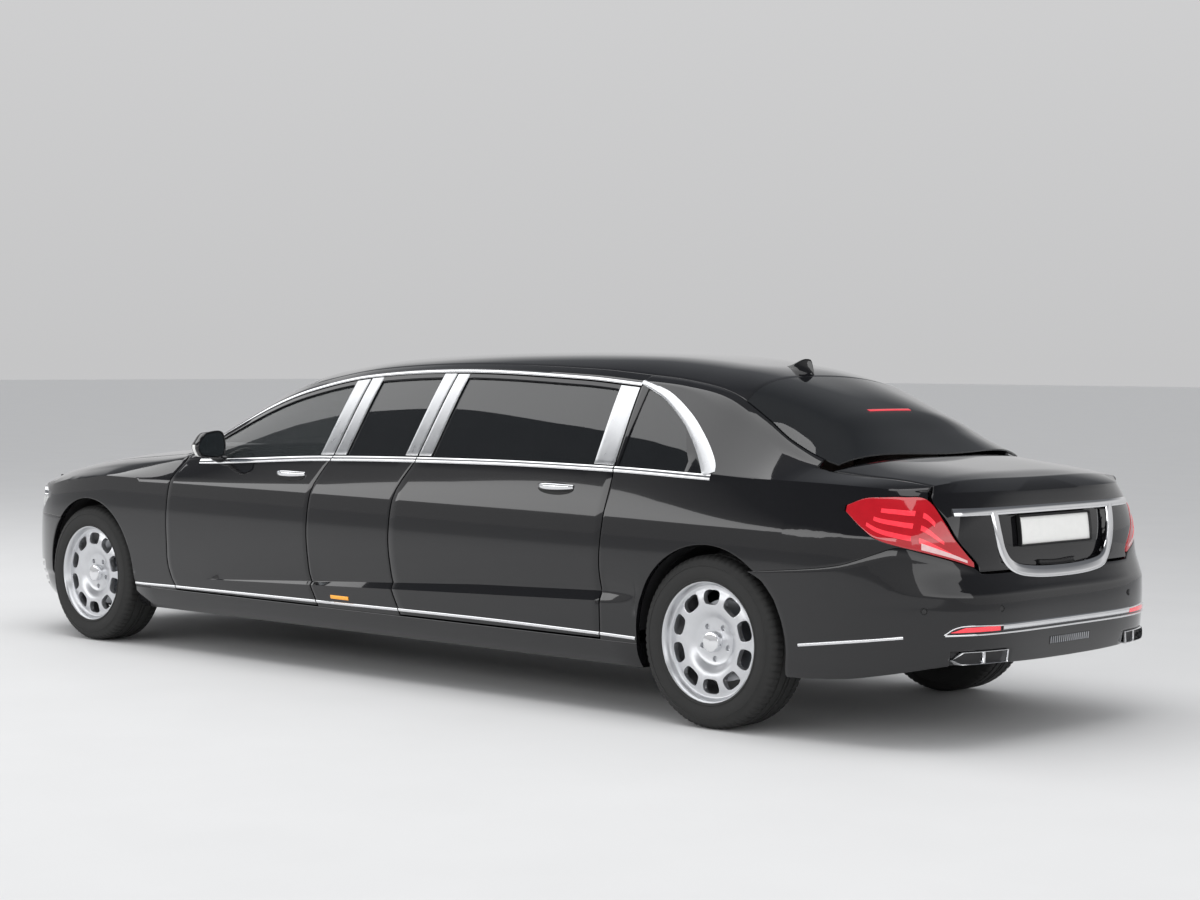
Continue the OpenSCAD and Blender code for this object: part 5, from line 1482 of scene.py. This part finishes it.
@dataclass
class Tail:
    """Lamps, chrome, plate and small parts of the rear."""

    bars: tuple = ((0.16, 0.26), (0.40, 0.50), (0.64, 0.74))

    def lamp(self, a: float, s: float) -> tuple[float, float]:
        """Angle and height at a share of a lamp's height."""
        lo, hi = FORM.curve(FORM.tail_lamp, a) + 1, FORM.curve(FORM.tail_lamp, a, 2) - 1
        return a, lerp(lo, hi, s)

    def lamps(self) -> None:
        """Tail lamps: red lens, three swept bars, an upright rib and a pale lower strip."""
        place = lambda a, z, d: FORM.side(FORM.stern_x(a), z, d)
        us = spread((17.4, 22, 28, 36, 46, 55, 62, 68.7), (5, 6, 7, 8, 7, 5, 5))
        shares = [k / 16 for k in range(17)]
        lens = Trim.patch("lens", us, shares, self.lamp, place, 0, 12)
        Bench.bevel(lens, 0.002)
        Bench.pair(lens, "tail_lamp_lens_{}", Kit.RED, BOTH, (("tail_lamps",), ()))
        parts = []
        for k, (low, high) in enumerate(self.bars):
            for first, last in ((24 + 2 * k, 41.5), (45, 61 - 5 * k)):
                cols = spread((first, last), (14,))
                parts.append(Trim.patch("bar", cols, (0, 0.25, 0.5, 0.75, 1),
                                        lambda a, s: self.lamp(a, lerp(low, high, s)), place, 1.0, 2))
        Bench.pair(Bench.join("bars", parts), "tail_lamp_bars_{}", Kit.RED_BAR)
        pale = Trim.patch("pale", spread((46, 66), (20,)), (0, 0.25, 0.5, 0.75, 1),
                          lambda a, s: (a, self.lamp(a, 0)[1] + 8 + s * lerp(26, 10, (a - 46) / 20)), place, 1.3, 2)
        Bench.pair(pale, "tail_lamp_pale_strip_{}", Kit.PALE_LENS)

    def lid_trim(self) -> None:
        """Bright bar and frame round the plate, the blank plate and the dark plate panel."""
        bar = Trim.ribbon("bar", level(spread((-640, -420, 420, 640), (10, 24, 10)), 941), 30, 7, Trim.tail, sink=2)
        loop = smooth([(-428, 938), (-418, 850), (-392, 770), (-330, 712), (-200, 690), (0, 684), (200, 690),
                       (330, 712), (392, 770), (418, 850), (428, 938)], 8)
        frame_u = Trim.ribbon("frame", loop, 44, 8, Trim.tail, sink=2)
        chrome = Bench.join("plate_frame", [bar, frame_u])
        Bench.finish(chrome, Kit.CHROME, "boot_lid")
        pan = Trim.patch("plate_panel", spread((-400, 400), (40,)), [k / 12 for k in range(13)],
                         lambda y, s: (y, lerp(708 + 52 * (abs(y) / 400) ** 3, 928, s)), Trim.tail, -23, 27)
        Bench.finish(pan, Kit.PAINT, "boot_lid")
        plate = Trim.patch("number_plate", spread((-260, 260), (26,)), [k / 6 for k in range(7)],
                           lambda y, s: (y, lerp(798, 910, s)), Trim.tail, -8, 14)
        Bench.bevel(plate, 0.003)
        Bench.finish(plate, Kit.PLATE, "boot_lid", slot="trim")
        rim = np.array([(-263, 795), (263, 795), (263, 913), (-263, 913)], float)
        ring = Trim.ribbon("plate_holder", straight(np.vstack([rim, rim[:1]]), 14), 8, -6, Trim.tail, sink=20)
        Bench.finish(ring, Kit.TRIM, "boot_lid")
        grip = Trim.ribbon("lid_grip", smooth([(-130, 722), (0, 717), (130, 722)], 10), 20, -14, Trim.tail, sink=26)
        Bench.finish(grip, Kit.TRIM, "boot_lid")

    def bumper_trim(self) -> None:
        """Double bright strip, reflectors, side strips, sensors and the low mesh slot."""
        strips = [Trim.ribbon("strip", level(spread((-735, 735), (60,)), 463), 10, 6, Trim.tail),
                  Trim.ribbon("strip", level(spread((-470, 470), (44,)), 487), 25, 7, Trim.tail)]
        for s in (1, -1):
            path = smooth([(s * 738, 466), (s * 700, 491), (s * 640, 499), (s * 470, 494)], 8)
            strips.append(Trim.ribbon("strip", path, 8, 6, Trim.tail))
        Bench.finish(Bench.join("rear_bumper_strips", strips), Kit.CHROME)
        low = lambda x: lerp(398, 477, (-2602 - x) / 600)
        path = np.array([(x, low(x)) for x in spread((-2560, -3020), (30,))])
        strip = Trim.ribbon("strip", path, 13, 5, FORM.side)
        Bench.pair(strip, "bumper_side_strip_{}", Kit.CHROME)
        span = lambda y, s: (y, lerp(474, 474 + 19 * clamp((718 - y) / 60, 0.1, 1), s))
        # Painted glow: the reflector is no lamp, yet its finish is the glowing red light bar.
        light = Trim.patch("reflector", spread((485, 715), (20,)), (0, 0.33, 0.66, 1), span, Trim.tail, 3, 2)
        Bench.pair(light, "rear_reflector_{}", Kit.RED_BAR)
        ring = [(0.0, 0.002), (0.009, 0.002), (0.010, -0.001), (0.011, -0.001), (0.0125, 0.0025), (0.014, 0.0),
                (0.014, -0.008), (0.0, -0.008)]
        eyes = [Bench.lathe("eye", ring, *Trim.outward(Trim.tail, y, 560), 32) for y in (800, 480)]
        Bench.pair(Bench.join("eyes", eyes), "parking_sensors_{}", Kit.TRIM)
        mesh = Trim.patch("low_mesh_slot", spread((-150, 150), (20,)), (0, 0.5, 1), lambda y, s: (y, lerp(392, 424, s)),
                          Trim.tail, 0.8, 2)
        Bench.finish(mesh, Kit.TRIM)
        teeth = [Trim.ribbon("tooth", straight([(y, 394), (y, 422)], 4), 6, 3, Trim.tail)
                 for y in spread((-140, 140), (18,))]
        Bench.finish(Bench.join("low_mesh_bars", teeth), Kit.STEEL)

    def top(self) -> None:
        """Roof aerial fin and the high brake lamp."""
        xs = spread((-1745, -1905), (24,))
        rings = []
        for x in xs:
            t = (-1745 - x) / 160
            base = FORM.top(x, 0)[2] - 6
            fall = 1 if t < 0.86 else 1 - ((t - 0.86) / 0.14) ** 2
            high = 6 + 62 * math.sin(min(t * 1.18, 1) * math.pi / 2) ** 1.6 * fall
            wide = 19 * math.sqrt(max(1 - (2 * t - 1) ** 2, 0.02))
            rings.append([(x, wide * math.cos(a) * (1 - 0.8 * max(math.sin(a), 0) ** 0.5),
                           base + high * max(math.sin(a), 0) - 4 * max(-math.sin(a), 0)) for a in turns(24)])
        fin = Bench.tube("roof_aerial_fin", metres(rings))
        Bench.finish(fin, Kit.PAINT)
        lamp = Trim.ribbon("high_brake_lamp", level(spread((-150, 150), (20,)), FORM.axle_r - 235), 16, 0.8,
                           lambda y, x, d: FORM.top(x, y, d), sink=8)
        Bench.finish(lamp, Kit.RED_BAR)

    def build(self) -> None:
        """All pieces of the rear."""
        self.lamps()
        self.lid_trim()
        self.bumper_trim()
        self.top()


@dataclass
class Exhaust:
    """Twin tips that follow the bumper, their pipes and silencers."""

    outline: tuple = ((446, 345), (676, 345), (716, 367), (668, 398), (438, 398))

    def build(self) -> None:
        """Both sides."""
        shape = np.vstack([straight([self.outline[i], self.outline[(i + 1) % 5]], 6)[:-1] for i in range(5)])
        middle = (shape.min(axis=0) + shape.max(axis=0)) / 2
        half = (shape.max(axis=0) - shape.min(axis=0)) / 2
        def ring(back: float, off: float) -> list[Point]:
            """Outline of the tip, set back and drawn in."""
            out = []
            for point in shape:
                y, z = middle + (point - middle) * (1 - off / half)
                out.append((Trim.tail(y, 390, 0)[0] + back, y, z))
            return out
        rings = [ring(170, 0), ring(0, 0), ring(-9, 0.6), ring(-12, 2), ring(-11, 4), ring(-4, 5.5), ring(110, 6)]
        tip = Bench.tube("tip", metres(rings))
        bar = Bench.prism("bar", [(553, 350), (565, 350), (565, 394), (553, 394)], 0, 100,
                          lambda y, z, d: ((Trim.tail(560, 390, 0)[0] + 2 + d) * MM, y * MM, z * MM), 2)
        # Painted shade: a black plug a little way inside each tip stands in for the shade down the bore.
        plug = Bench.tube("plug", metres([ring(34, 6), ring(40, 6)]))
        Bench.pair(plug, "exhaust_bores_{}", Kit.SEAL)
        pocket = Trim.patch("pocket", spread((436, 724), (20,)), (0, 0.5, 1), lambda y, s: (y, lerp(344, 399, s)),
                            Trim.tail, -12, 18)
        Bench.pair(pocket, "exhaust_pockets_{}", Kit.TRIM)
        Bench.pair(Bench.join("tips", [tip, bar]), "exhaust_tips_{}", Kit.CHROME, BOTH, (("exhausts",), ()))
        turn = turns(28)
        pipe = [[(x, 560 + 26 * math.cos(a), 370 + 26 * math.sin(a)) for a in turn] for x in (-3080, -2840)]
        can = [[(x, 515 + k * 72 * math.copysign(abs(math.cos(a)) ** 0.5, math.cos(a)),
                 380 + k * 78 * math.copysign(abs(math.sin(a)) ** 0.5, math.sin(a))) for a in turn]
               for x, k in ((-2849, 0.8), (-2846, 0.95), (-2836, 1), (-2562, 1), (-2552, 0.95), (-2549, 0.8))]
        pipes = Bench.join("pipes", [Bench.tube("pipe", metres(pipe)), Bench.tube("can", metres(can))])
        Bench.pair(pipes, "exhaust_pipes_{}", Kit.STEEL)


@dataclass
class Cabin:
    """Leather seats, dashboard, carpet and door cards."""

    channel: float = 0.022

    def pad(self, outline: Sequence[Sequence[float]], place: Surface, wide: float,
            channels: int) -> Piece:
        """Crowned leather pad lofted across a seat, pulled in at its ends and along sewn channels."""
        shape = smooth(outline, 7, True)
        middle = shape.mean(axis=0)
        rings = []
        for t in spread((-1, 1), (64,)):
            end = (1 - min(abs(t), 0.9995) ** 9) ** (1 / 3)
            k = (0.72 + 0.28 * end) * (1 - 0.035 * t * t)
            for c in range(1, channels):
                k -= self.channel * math.exp(-((t - (2 * c / channels - 1)) / 0.018) ** 2)
            rings.append([place(*(middle + (p - middle) * k), t * wide / 2) for p in shape])
        return Bench.tube("pad", metres(rings))

    def seat(self, name: str, at: Point, w: float, l: float, h: float, lean: float, facing: int,
             nodes: Sequence[str]) -> None:
        """One pair of seats: cushion, back and headrest of each.

        Args:
            name: name of the piece.
            at: foot of the back, mm.
            w: width.
            l: length of the cushion.
            h: height of the back.
            lean: how far the back leans.
            facing: 1 forwards, -1 backwards.
            nodes: solids that it stands for.
        """
        cushion = [(0, 0), (l, 30), (l + 30, 70), (l + 20, 120), (l - 20, 140), (60, 110), (0, 100)]
        back = [(0, 60), (70, 60), (90, 120), (70 - lean / 2, 0.6 * h), (60 - lean, h), (-20 - lean, h + 10),
                (-60 - lean, h - 10), (-60, 80)]
        head = [(-40, 0), (40, 0), (36, 90), (30, 160), (0, 176), (-30, 166), (-38, 90)]
        def put(dx: float, dz: float) -> Surface:
            """Place of a pad, moved along and up."""
            return lambda u, v, y: (at[0] + facing * (u + dx), at[1] + y, at[2] + v + dz)
        pads = [self.pad(cushion, put(0, 0), w - 4, 6), self.pad(back, put(-40, 30), w - 4, 6),
                self.pad(head, put(-60 - lean, h + 25), w / 2 - 4, 1)]
        seat = Bench.join(name, pads)
        both = Bench.pair(seat, name + "_{}", Kit.LEATHER, BOTH, (nodes, ()), 50)
        posts = []
        for s in (-60, 60):
            posts.append(Bench.lathe("post", [(0.007, 0), (0.007, 0.09), (0, 0.09), (0, 0)],
                                     np.array((at[0] + facing * (-60 - lean), at[1] + s, at[2] + h - 40)) * MM,
                                     np.array((0, 0, 1.0)), 20))
        Bench.pair(Bench.join("posts", posts), name + "_posts_{}", Kit.CHROME)

    def block(self, name: str, low: Point, high: Point, kit: Kit, bevel: float = 12) -> None:
        """Rounded box on both sides of the car."""
        shape = [(low[0], low[1]), (high[0], low[1]), (high[0], high[1]), (low[0], high[1])]
        box = Bench.prism("box", shape, low[2], high[2], lambda x, y, z: (x * MM, y * MM, z * MM), bevel, 3)
        Bench.pair(box, name + "_{}", kit)

    def cards(self) -> None:
        """Trim on the inner faces of the doors: leather card, veneer strip, armrest."""
        p = SidePanels()
        rows = (("front", FORM.front_cut, FORM.mid_cut, FRONT_DOORS),
                ("rear", FORM.rear_cut, None, REAR_DOORS))
        for name, a, b, bodies in rows:
            def patch(c0: float, c1: float, r0: float, r1: float, d0: float, d1: float) -> Piece:
                """Patch of a door between two columns, rows and depths."""
                point = lambda c, r, d: FORM.panel(a, b, c, r, p.door_low, p.door_lip, FORM.shut_gap / 2, d)
                return Bench.shell("card", point, spread((c0, c1), (24,)), spread((r0, r1), (20,)), d0, d1)
            card = patch(0.12, 0.86, 0.9, 6.7, 90, 110)
            Bench.bevel(card, 0.006, 3)
            Bench.pair(card, name + "_door_card_{}", Kit.LEATHER, bodies)
            strip = patch(0.16, 0.82, 5.2, 5.9, 104, 114)
            Bench.bevel(strip, 0.003)
            Bench.pair(strip, name + "_door_veneer_{}", Kit.WOOD, bodies)
            rest = patch(0.3, 0.78, 3.5, 4.1, 100, 158)
            Bench.bevel(rest, 0.014, 4)
            Bench.pair(rest, name + "_armrest_{}", Kit.LEATHER, bodies)

    def dashboard(self) -> None:
        """Dashboard with a veneer band, a screen and four vents."""
        shape = smooth([(1566, 642), (1566, 925), (1500, 938), (1380, 932), (1300, 890), (1272, 820), (1300, 720),
                        (1360, 644)], 7, True)
        rings = []
        for t in spread((-1, 1), (48,)):
            k = 0.9 + 0.1 * (1 - abs(t) ** 8)
            rings.append([(1566 + (x - 1566) * k, 697 * t, 640 + (z - 640) * k) for x, z in shape])
        Bench.finish(Bench.tube("dashboard_shell", metres(rings)), Kit.LEATHER, "body", ("dashboard",), 40)
        heights, fronts = [700, 760, 820, 860, 890, 915], [1308, 1288, 1273, 1283, 1300, 1325]
        face = lambda y, z, d: (np.interp(z, heights, fronts) - 4 + d, y, z)
        band = Trim.ribbon("dashboard_veneer", level(spread((-640, 640), (60,)), 800), 60, 3, face, sink=14)
        Bench.finish(band, Kit.WOOD)
        screen = Trim.ribbon("dashboard_screen", level(spread((-170, 560), (40,)), 876), 62, 4, face, sink=14)
        Bench.finish(screen, Kit.DARK_GLASS)
        ring = [(0.034, 0), (0.034, 0.006), (0.028, 0.006), (0.024, -0.004), (0, -0.004), (0, -0.02), (0.034, -0.02)]
        vents = [Bench.lathe("vent", ring, np.array((1266, y, 800)) * MM, np.array((-1.0, 0, 0)), 36)
                 for y in (-590, -90, 90, 590)]
        Bench.finish(Bench.join("dashboard_vents", vents), Kit.CHROME)

    def build(self) -> None:
        """The whole cabin."""
        f = FORM
        self.seat("front_seat", (f.front_cut - 800, 380, 425), 520, 500, 560, 180, 1, ("front_seats",))
        self.block("front_seat_plinth", (f.front_cut - 740, 180, 246), (f.front_cut - 340, 580, 446), Kit.TRIM)
        self.seat("rear_seat", (-1905.5, 322.25, 481), 540, 520, 580, 190, 1, ("rear_seats",))
        self.block("rear_seat_plinth", (f.axle_r + f.arch_r + 26, 152, 246), (f.axle_r + f.arch_r + 248, 590, 500),
                   Kit.TRIM)
        self.seat("facing_seat", (f.mid_cut - 240, 380, 415), 440, 480, 480, 60, -1, ())
        self.block("facing_seat_plinth", (f.mid_cut - 640, 180, 246), (f.mid_cut - 260, 580, 436), Kit.TRIM)
        self.block("carpet", (f.axle_r + f.arch_r + 30, 146, 245.5), (f.front_cut - 60, 752, 252), Kit.CARPET, 2)
        self.cards()
        self.dashboard()


@dataclass
class Furniture:
    """Door handles, side markers and mirrors."""

    mirror_x: float = 1193.5
    outline: tuple = ((-34, 4), (96, 0), (126, 20), (138, 56), (116, 90), (92, 118), (66, 126), (-26, 124))

    def handle(self, x0: float, z0: float, name: str, bodies: tuple[str, str]) -> None:
        """Bright grab handle over a shallow dark oval bowl, painted shade for the recess behind the handle."""
        ring = [(x0 + 108 * math.cos(a), z0 - 4 + 27 * math.sin(a)) for a in turns(48)]
        at = lambda x, z, d: np.array(FORM.side(x, z, d)) * MM
        inner = [at(x0 + (x - x0) * 0.8, z0 - 4 + (z - z0 + 4) * 0.7, 0.2) for x, z in ring]
        # Painted shade: a nearly flat black oval stands in for the shaded recess behind the handle.
        cup = Bench.disc("cup", [at(x, z, -1.2) for x, z in ring], inner, at(x0, z0 - 4, 0.6))
        Bench.pair(cup, name + "_bowl_{}", Kit.SEAL, bodies)
        rings = []
        for t in spread((-1, 1), (32,)):
            reach = 36 * (1 - abs(t) ** 3.2)
            thick, tall = 10 - 4 * t * t, 15 - 6 * t * t
            c = FORM.side(x0 + 106 * t, z0 + 6, -reach)
            rings.append([(c[0], c[1] + thick * math.cos(a), c[2] + tall * math.sin(a)) for a in turns(20)])
        grip = Bench.tube("grip", metres(rings))
        Bench.pair(grip, name + "_handle_{}", Kit.CHROME, bodies)

    def mirrors(self) -> None:
        """Mirror shells on curved feet, with glass and a turn lamp."""
        base = FORM.side(self.mirror_x, FORM.waist - 20)
        y0, z0 = FORM.side(self.mirror_x, FORM.waist)[1] + 41, FORM.waist - 18
        shape = smooth(self.outline, 6, True)
        at = lambda dx, k: [(self.mirror_x + dx, y0 + 40 + (u - 40) * k, z0 + 62 + (v - 62) * k) for u, v in shape]
        rings = [at(dx, k) for dx, k in ((7, 0.86), (6, 0.885), (0, 0.905), (-1, 0.93), (0, 0.96), (5, 0.99), (16, 1),
                                         (34, 0.985), (54, 0.93), (72, 0.83), (88, 0.67), (97, 0.48), (101, 0.25))]
        shell = Bench.tube("shell", metres(rings))
        foot = []
        for t in spread((0, 1), (14,)):
            y = lerp(base[1] - 14, y0 + 26, t)
            z = lerp(FORM.waist - 36, FORM.waist + 4, t * t)
            long, tall = lerp(62, 34, t), lerp(20, 17, t)
            foot.append([(self.mirror_x + 46 + long * math.cos(a), y, z + tall * math.sin(a)) for a in turns(24)])
        shell = Bench.join("shell", [shell, Bench.tube("foot", metres(foot))])
        Bench.pair(shell, "mirror_shell_{}", Kit.PAINT, FRONT_DOORS, (("mirror_l",), ("mirror_r",)))
        glass = Bench.tube("glass", metres([at(5.0, 0.865), at(2.5, 0.86)]))
        Bench.pair(glass, "mirror_glass_{}", Kit.MIRROR, FRONT_DOORS)
        lens = []
        for k in range(14):
            u, v = shape[6 + k]
            lens.append([(self.mirror_x + dx, y0 + 40 + (u - 40) * s, z0 + 62 + (v - 62) * s)
                         for dx, s in ((20, 0.99), (22, 1.012), (42, 1.0), (44, 0.97), (30, 0.95))])
        lens = [ring for ring in lens if ring[0][2] < z0 + 74]
        Bench.pair(Bench.tube("lens", metres(lens)), "mirror_turn_lamp_{}", Kit.PLATE, FRONT_DOORS)

    def build(self) -> None:
        """All pieces."""
        self.handle(633, 962, "front_door", FRONT_DOORS)
        self.handle(-1191, 972, "rear_door", REAR_DOORS)
        mark = Trim.ribbon("mark", straight([(325, 380), (195, 380)], 14), 18, 3, Trim.side)
        Bench.pair(mark, "side_marker_{}", Kit.AMBER)
        self.mirrors()


@dataclass
class Wheels:
    """Tyres with tread and ten-window dish wheels."""

    windows: int = 10
    bolts: int = 5
    radius: float = 0.364
    half: float = 0.1225
    cap: tuple = ((0.044, 0.060), (0.043, 0.088), (0.040, 0.0925), (0.032, 0.0950), (0.0, 0.0965), (0.0, 0.078),
                  (0.0385, 0.078), (0.0385, 0.060))
    brake: tuple = ((0.050, 0.030), (0.050, -0.012), (0.090, -0.012), (0.090, -0.034), (0.172, -0.034),
                    (0.172, -0.026), (0.160, -0.024), (0.160, -0.016), (0.172, -0.014), (0.172, -0.006),
                    (0.098, -0.006), (0.096, 0.030))

    def tyre(self, name: str, centre: np.ndarray, side: int) -> Piece:
        """Tyre with grooves round it and cross cuts at its shoulders."""
        r, h = self.radius, self.half
        rows = [(0.247, h - 0.018, 0), (0.256, h - 0.006, 0), (0.262, h - 0.003, 0), (0.266, h - 0.006, 0),
                (0.285, h - 0.001, 0), (0.305, h, 0), (0.318, h - 0.003, 0), (0.32, h - 0.001, 0),
                (0.323, h - 0.004, 0), (0.34, h - 0.01, 0), (0.35, h - 0.016, 1), (r - 0.004, h - 0.028, 1),
                (r - 0.001, h - 0.042, 1), (r, h - 0.062, 1), (r - 0.007, h - 0.064, 0),
                (r - 0.007, h - 0.07, 0), (r, h - 0.072, 0), (r, h - 0.106, 0), (r - 0.007, h - 0.108, 0),
                (r - 0.007, h - 0.115, 0), (r, h - 0.117, 0)]
        outline = rows + [(a, -b, c) for a, b, c in reversed(rows)] + [(0.25, -0.06, 0), (0.25, 0.06, 0)]
        outline.append(outline[0])
        steps = 288
        grid = np.zeros((steps + 1, len(outline), 3))
        for k in range(steps + 1):
            a = 2 * math.pi * k / steps
            for j, (rad, out, cut) in enumerate(outline):
                deep = 0.005 if cut and k % 4 == 0 else 0
                grid[k, j] = (centre[0] + (rad - deep) * math.sin(a), centre[1] + side * out,
                              centre[2] + (rad - deep) * math.cos(a))
        obj = Bench.sheet(name, grid)
        Bench.edit(obj, Bench.weld, Bench.outward)
        return obj

    def dish(self, name: str, c: np.ndarray, side: int) -> Piece:
        """Rim, dish with cut windows and bolt holes."""
        face = [(0.2605, 0.104), (0.2585, 0.1115), (0.252, 0.113), (0.245, 0.106), (0.241, 0.09), (0.236, 0.078),
                (0.228, 0.076), (0.212, 0.082), (0.19, 0.088), (0.165, 0.09), (0.14, 0.087), (0.12, 0.079),
                (0.106, 0.068), (0.095, 0.062), (0.06, 0.061), (0.043, 0.062), (0.0385, 0.062)]
        back = [(0.0385, 0.03), (0.11, 0.034), (0.15, 0.062), (0.2, 0.062), (0.225, 0.05), (0.232, 0.03),
                (0.232, -0.07), (0.246, -0.1), (0.2605, -0.104), (0.2605, -0.11), (0.26, -0.06),
                (0.246, -0.04), (0.246, 0.06), (0.256, 0.092)]
        dish = Bench.lathe(name, face + back, c, np.array((0, side, 0), float), 120)
        cutters = []
        shape = smooth([(0.158, -0.026), (0.158, 0.026), (0.176, 0.041), (0.204, 0.042), (0.216, 0.026), (0.218, 0.0),
                        (0.216, -0.026), (0.204, -0.042), (0.176, -0.041)], 5, True)
        for k in range(self.windows):
            cutters.append(self.cutter(shape, 2 * math.pi * k / self.windows, c, side, 0.02, 0.13))
        for k in range(self.bolts):
            a0 = 2 * math.pi * (k + 0.5) / self.bolts
            ring = [(0.073 + 0.0125 * math.cos(t), 0.0125 * math.sin(t)) for t in turns(20)]
            cutters.append(self.cutter(ring, a0, c, side, 0.046, 0.13))
        tool = Bench.join("cutters", cutters)
        Bench.modify(dish, "BOOLEAN", object=tool, operation="DIFFERENCE", solver="EXACT")
        bpy.data.objects.remove(tool)
        Bench.bevel(dish, 0.0022, angle=0.9)
        return dish

    def cutter(self, shape: Sequence[Sequence[float]], turn: float, c: np.ndarray, side: int, low: float,
               high: float) -> Piece:
        """Prism along the axle from an outline of (radius, across) turned about it.

        Args:
            shape: outline.
            turn: angle about the axle.
            c: middle of the wheel.
            side: 1 left, -1 right.
            low: inner end.
            high: outer end.

        Returns:
            The cutter.
        """
        def place(u: float, v: float, d: float) -> Point:
            """Turns the outline about the axle."""
            x, z = u * math.sin(turn) + v * math.cos(turn), u * math.cos(turn) - v * math.sin(turn)
            return (c[0] + x, c[1] + side * d, c[2] + z)
        return Bench.prism("cutter", list(shape), low, high, place)

    def build(self) -> None:
        """All four wheels."""
        f, r = FORM.axle_f * MM, FORM.axle_r * MM
        rows = (("fl", "front_left_wheel", f, 0.812), ("fr", "front_right_wheel", f, -0.812),
                ("rl", "rear_left_wheel", r, 0.8185), ("rr", "rear_right_wheel", r, -0.8185))
        for tag, body, x, y in rows:
            side = 1 if y > 0 else -1
            centre, axis = np.array((x, y, self.radius)), np.array((0, side, 0), float)
            Bench.finish(self.tyre("tread_tyre_" + tag, centre, side), Kit.TYRE, body, ("tyre_" + tag,), 40)
            Bench.finish(self.dish("dish_wheel_" + tag, centre, side), Kit.ALLOY, body, ("wheel_" + tag,))
            Bench.finish(Bench.lathe("brake_disc_" + tag, self.brake, centre, axis, 72), Kit.STEEL, body)
            Bench.finish(Bench.lathe("wheel_cap_" + tag, self.cap, centre, axis, 60), Kit.CHROME, body)


@dataclass
class Studio:
    """Floor, light and camera."""

    eye: Point = (-8.5727, 8.4639, 1.5426)
    yaw: float = -46.672
    pitch: float = -2.193
    roll: float = 0.314
    lens: float = 71.93
    floor_size: float = 240.0

    def floor(self) -> None:
        """Plain pale floor."""
        bpy.ops.object.select_all(action="DESELECT")
        bpy.ops.mesh.primitive_plane_add(size=self.floor_size)
        floor = bpy.context.active_object
        floor.name = "floor"
        finish = Finish("pale_floor", "", (0.62, 0.62, 0.62), (0.66, 0.66, 0.66), (0.7, 0.8), cloud=1.5, specular=0.1)
        floor.data.materials.append(finish.make())

    def lamp(self, name: str, place: Point, aim: Point, size: tuple[float, float], power: float) -> None:
        """Soft box at a place, aimed at a point."""
        light = bpy.data.lights.new(name, "AREA")
        light.shape, light.size, light.size_y, light.energy = "RECTANGLE", size[0], size[1], power
        obj = bpy.data.objects.new(name, light)
        bpy.context.scene.collection.objects.link(obj)
        obj.location = place
        obj.rotation_euler = (Vector(aim) - Vector(place)).to_track_quat("-Z", "Y").to_euler()

    def build(self) -> None:
        """Sets up the whole studio."""
        self.floor()
        self.lamp("ceiling_box", (3.0, 1.5, 7.0), (3.0, 0.4, 0), (19.0, 5.0), 540)
        self.lamp("left_box", (4.0, 10.0, 3.6), (4.0, 0, 0.7), (24.0, 2.2), 377)
        self.lamp("tail_box", (-11.0, 2.0, 3.6), (-3, 0, 0.8), (10.0, 4.0), 170)
        world = bpy.data.worlds.new("studio")
        bpy.context.scene.world = world
        world.use_nodes = True
        tree = Shader(world.node_tree)
        where = tree.node("ShaderNodeTexCoord").out("Generated")
        height = tree.node("ShaderNodeSeparateXYZ", {}, {"Vector": where}).out("Z")
        stops = [(0.0, (0.56, 0.56, 0.565, 1)), (0.24, (0.66, 0.66, 0.665, 1)), (0.42, (0.16, 0.165, 0.175, 1)),
                 (0.75, (0.10, 0.105, 0.115, 1)), (1.0, (0.22, 0.225, 0.235, 1))]
        sky = tree.node("ShaderNodeValToRGB", {"stops": stops}, {"Fac": height}).out("Color")
        path = tree.node("ShaderNodeLightPath")
        seen = path.out("Is Camera Ray") + path.out("Is Glossy Ray") + path.out("Is Transmission Ray")
        lit = tree.node("ShaderNodeBackground", {}, {"Color": (0.97, 0.98, 1.0, 1), "Strength": 0.78})
        backdrop = tree.node("ShaderNodeBackground", {}, {"Color": sky, "Strength": 1.0})
        mixed = tree.node("ShaderNodeMixShader", {}, {0: seen, 1: lit.out(), 2: backdrop.out()})
        tree.node("ShaderNodeOutputWorld", {}, {"Surface": mixed.out()})
        camera = bpy.data.cameras.new("camera")
        camera.lens, camera.sensor_width, camera.clip_end = self.lens, 36.0, 400.0
        obj = bpy.data.objects.new("camera", camera)
        bpy.context.scene.collection.objects.link(obj)
        yaw, pitch, roll = (math.radians(v) for v in (self.yaw, self.pitch, self.roll))
        ahead = Vector((math.cos(pitch) * math.cos(yaw), math.cos(pitch) * math.sin(yaw), math.sin(pitch)))
        right = ahead.cross(Vector((0, 0, 1))).normalized()
        upward = right.cross(ahead)
        turn_r = math.cos(roll) * right + math.sin(roll) * upward
        turn_u = math.cos(roll) * upward - math.sin(roll) * right
        spin = Matrix((turn_r, turn_u, -ahead)).transposed()
        obj.matrix_world = Matrix.Translation(self.eye) @ spin.to_4x4()
        bpy.context.scene.camera = obj
        bpy.context.scene.view_settings.view_transform = "Standard"


ASSEMBLIES = (SidePanels, CrossPanels, Bumpers, BrightTrim, Tail, Exhaust, Furniture, Wheels, Cabin)


def carry_over() -> None:
    """Gives each solid that still shows its finish."""
    kits = {"paint": Kit.PAINT, "trim": Kit.TRIM, "chrome": Kit.CHROME, "glass": Kit.GLASS,
            "dark_glass": Kit.DARK_GLASS, "red_lamp": Kit.RED, "clear_lamp": Kit.CLEAR, "alloy": Kit.ALLOY,
            "tyre": Kit.TYRE, "steel": Kit.STEEL, "iron": Kit.IRON, "leather": Kit.LEATHER}
    for row in frame["record"]["subparts"]:
        obj = frame["nodes"][row["node"]]
        if not obj.hide_render:
            obj.data.materials.clear()
            obj.data.materials.append(kits[row["material_slot"]].material)


def main() -> None:
    """Builds every sub-assembly in order."""
    logging.basicConfig(level=logging.INFO)
    Studio().build()
    for assembly in ASSEMBLIES:
        assembly().build()
    carry_over()


if __name__ == "__main__":
    main()
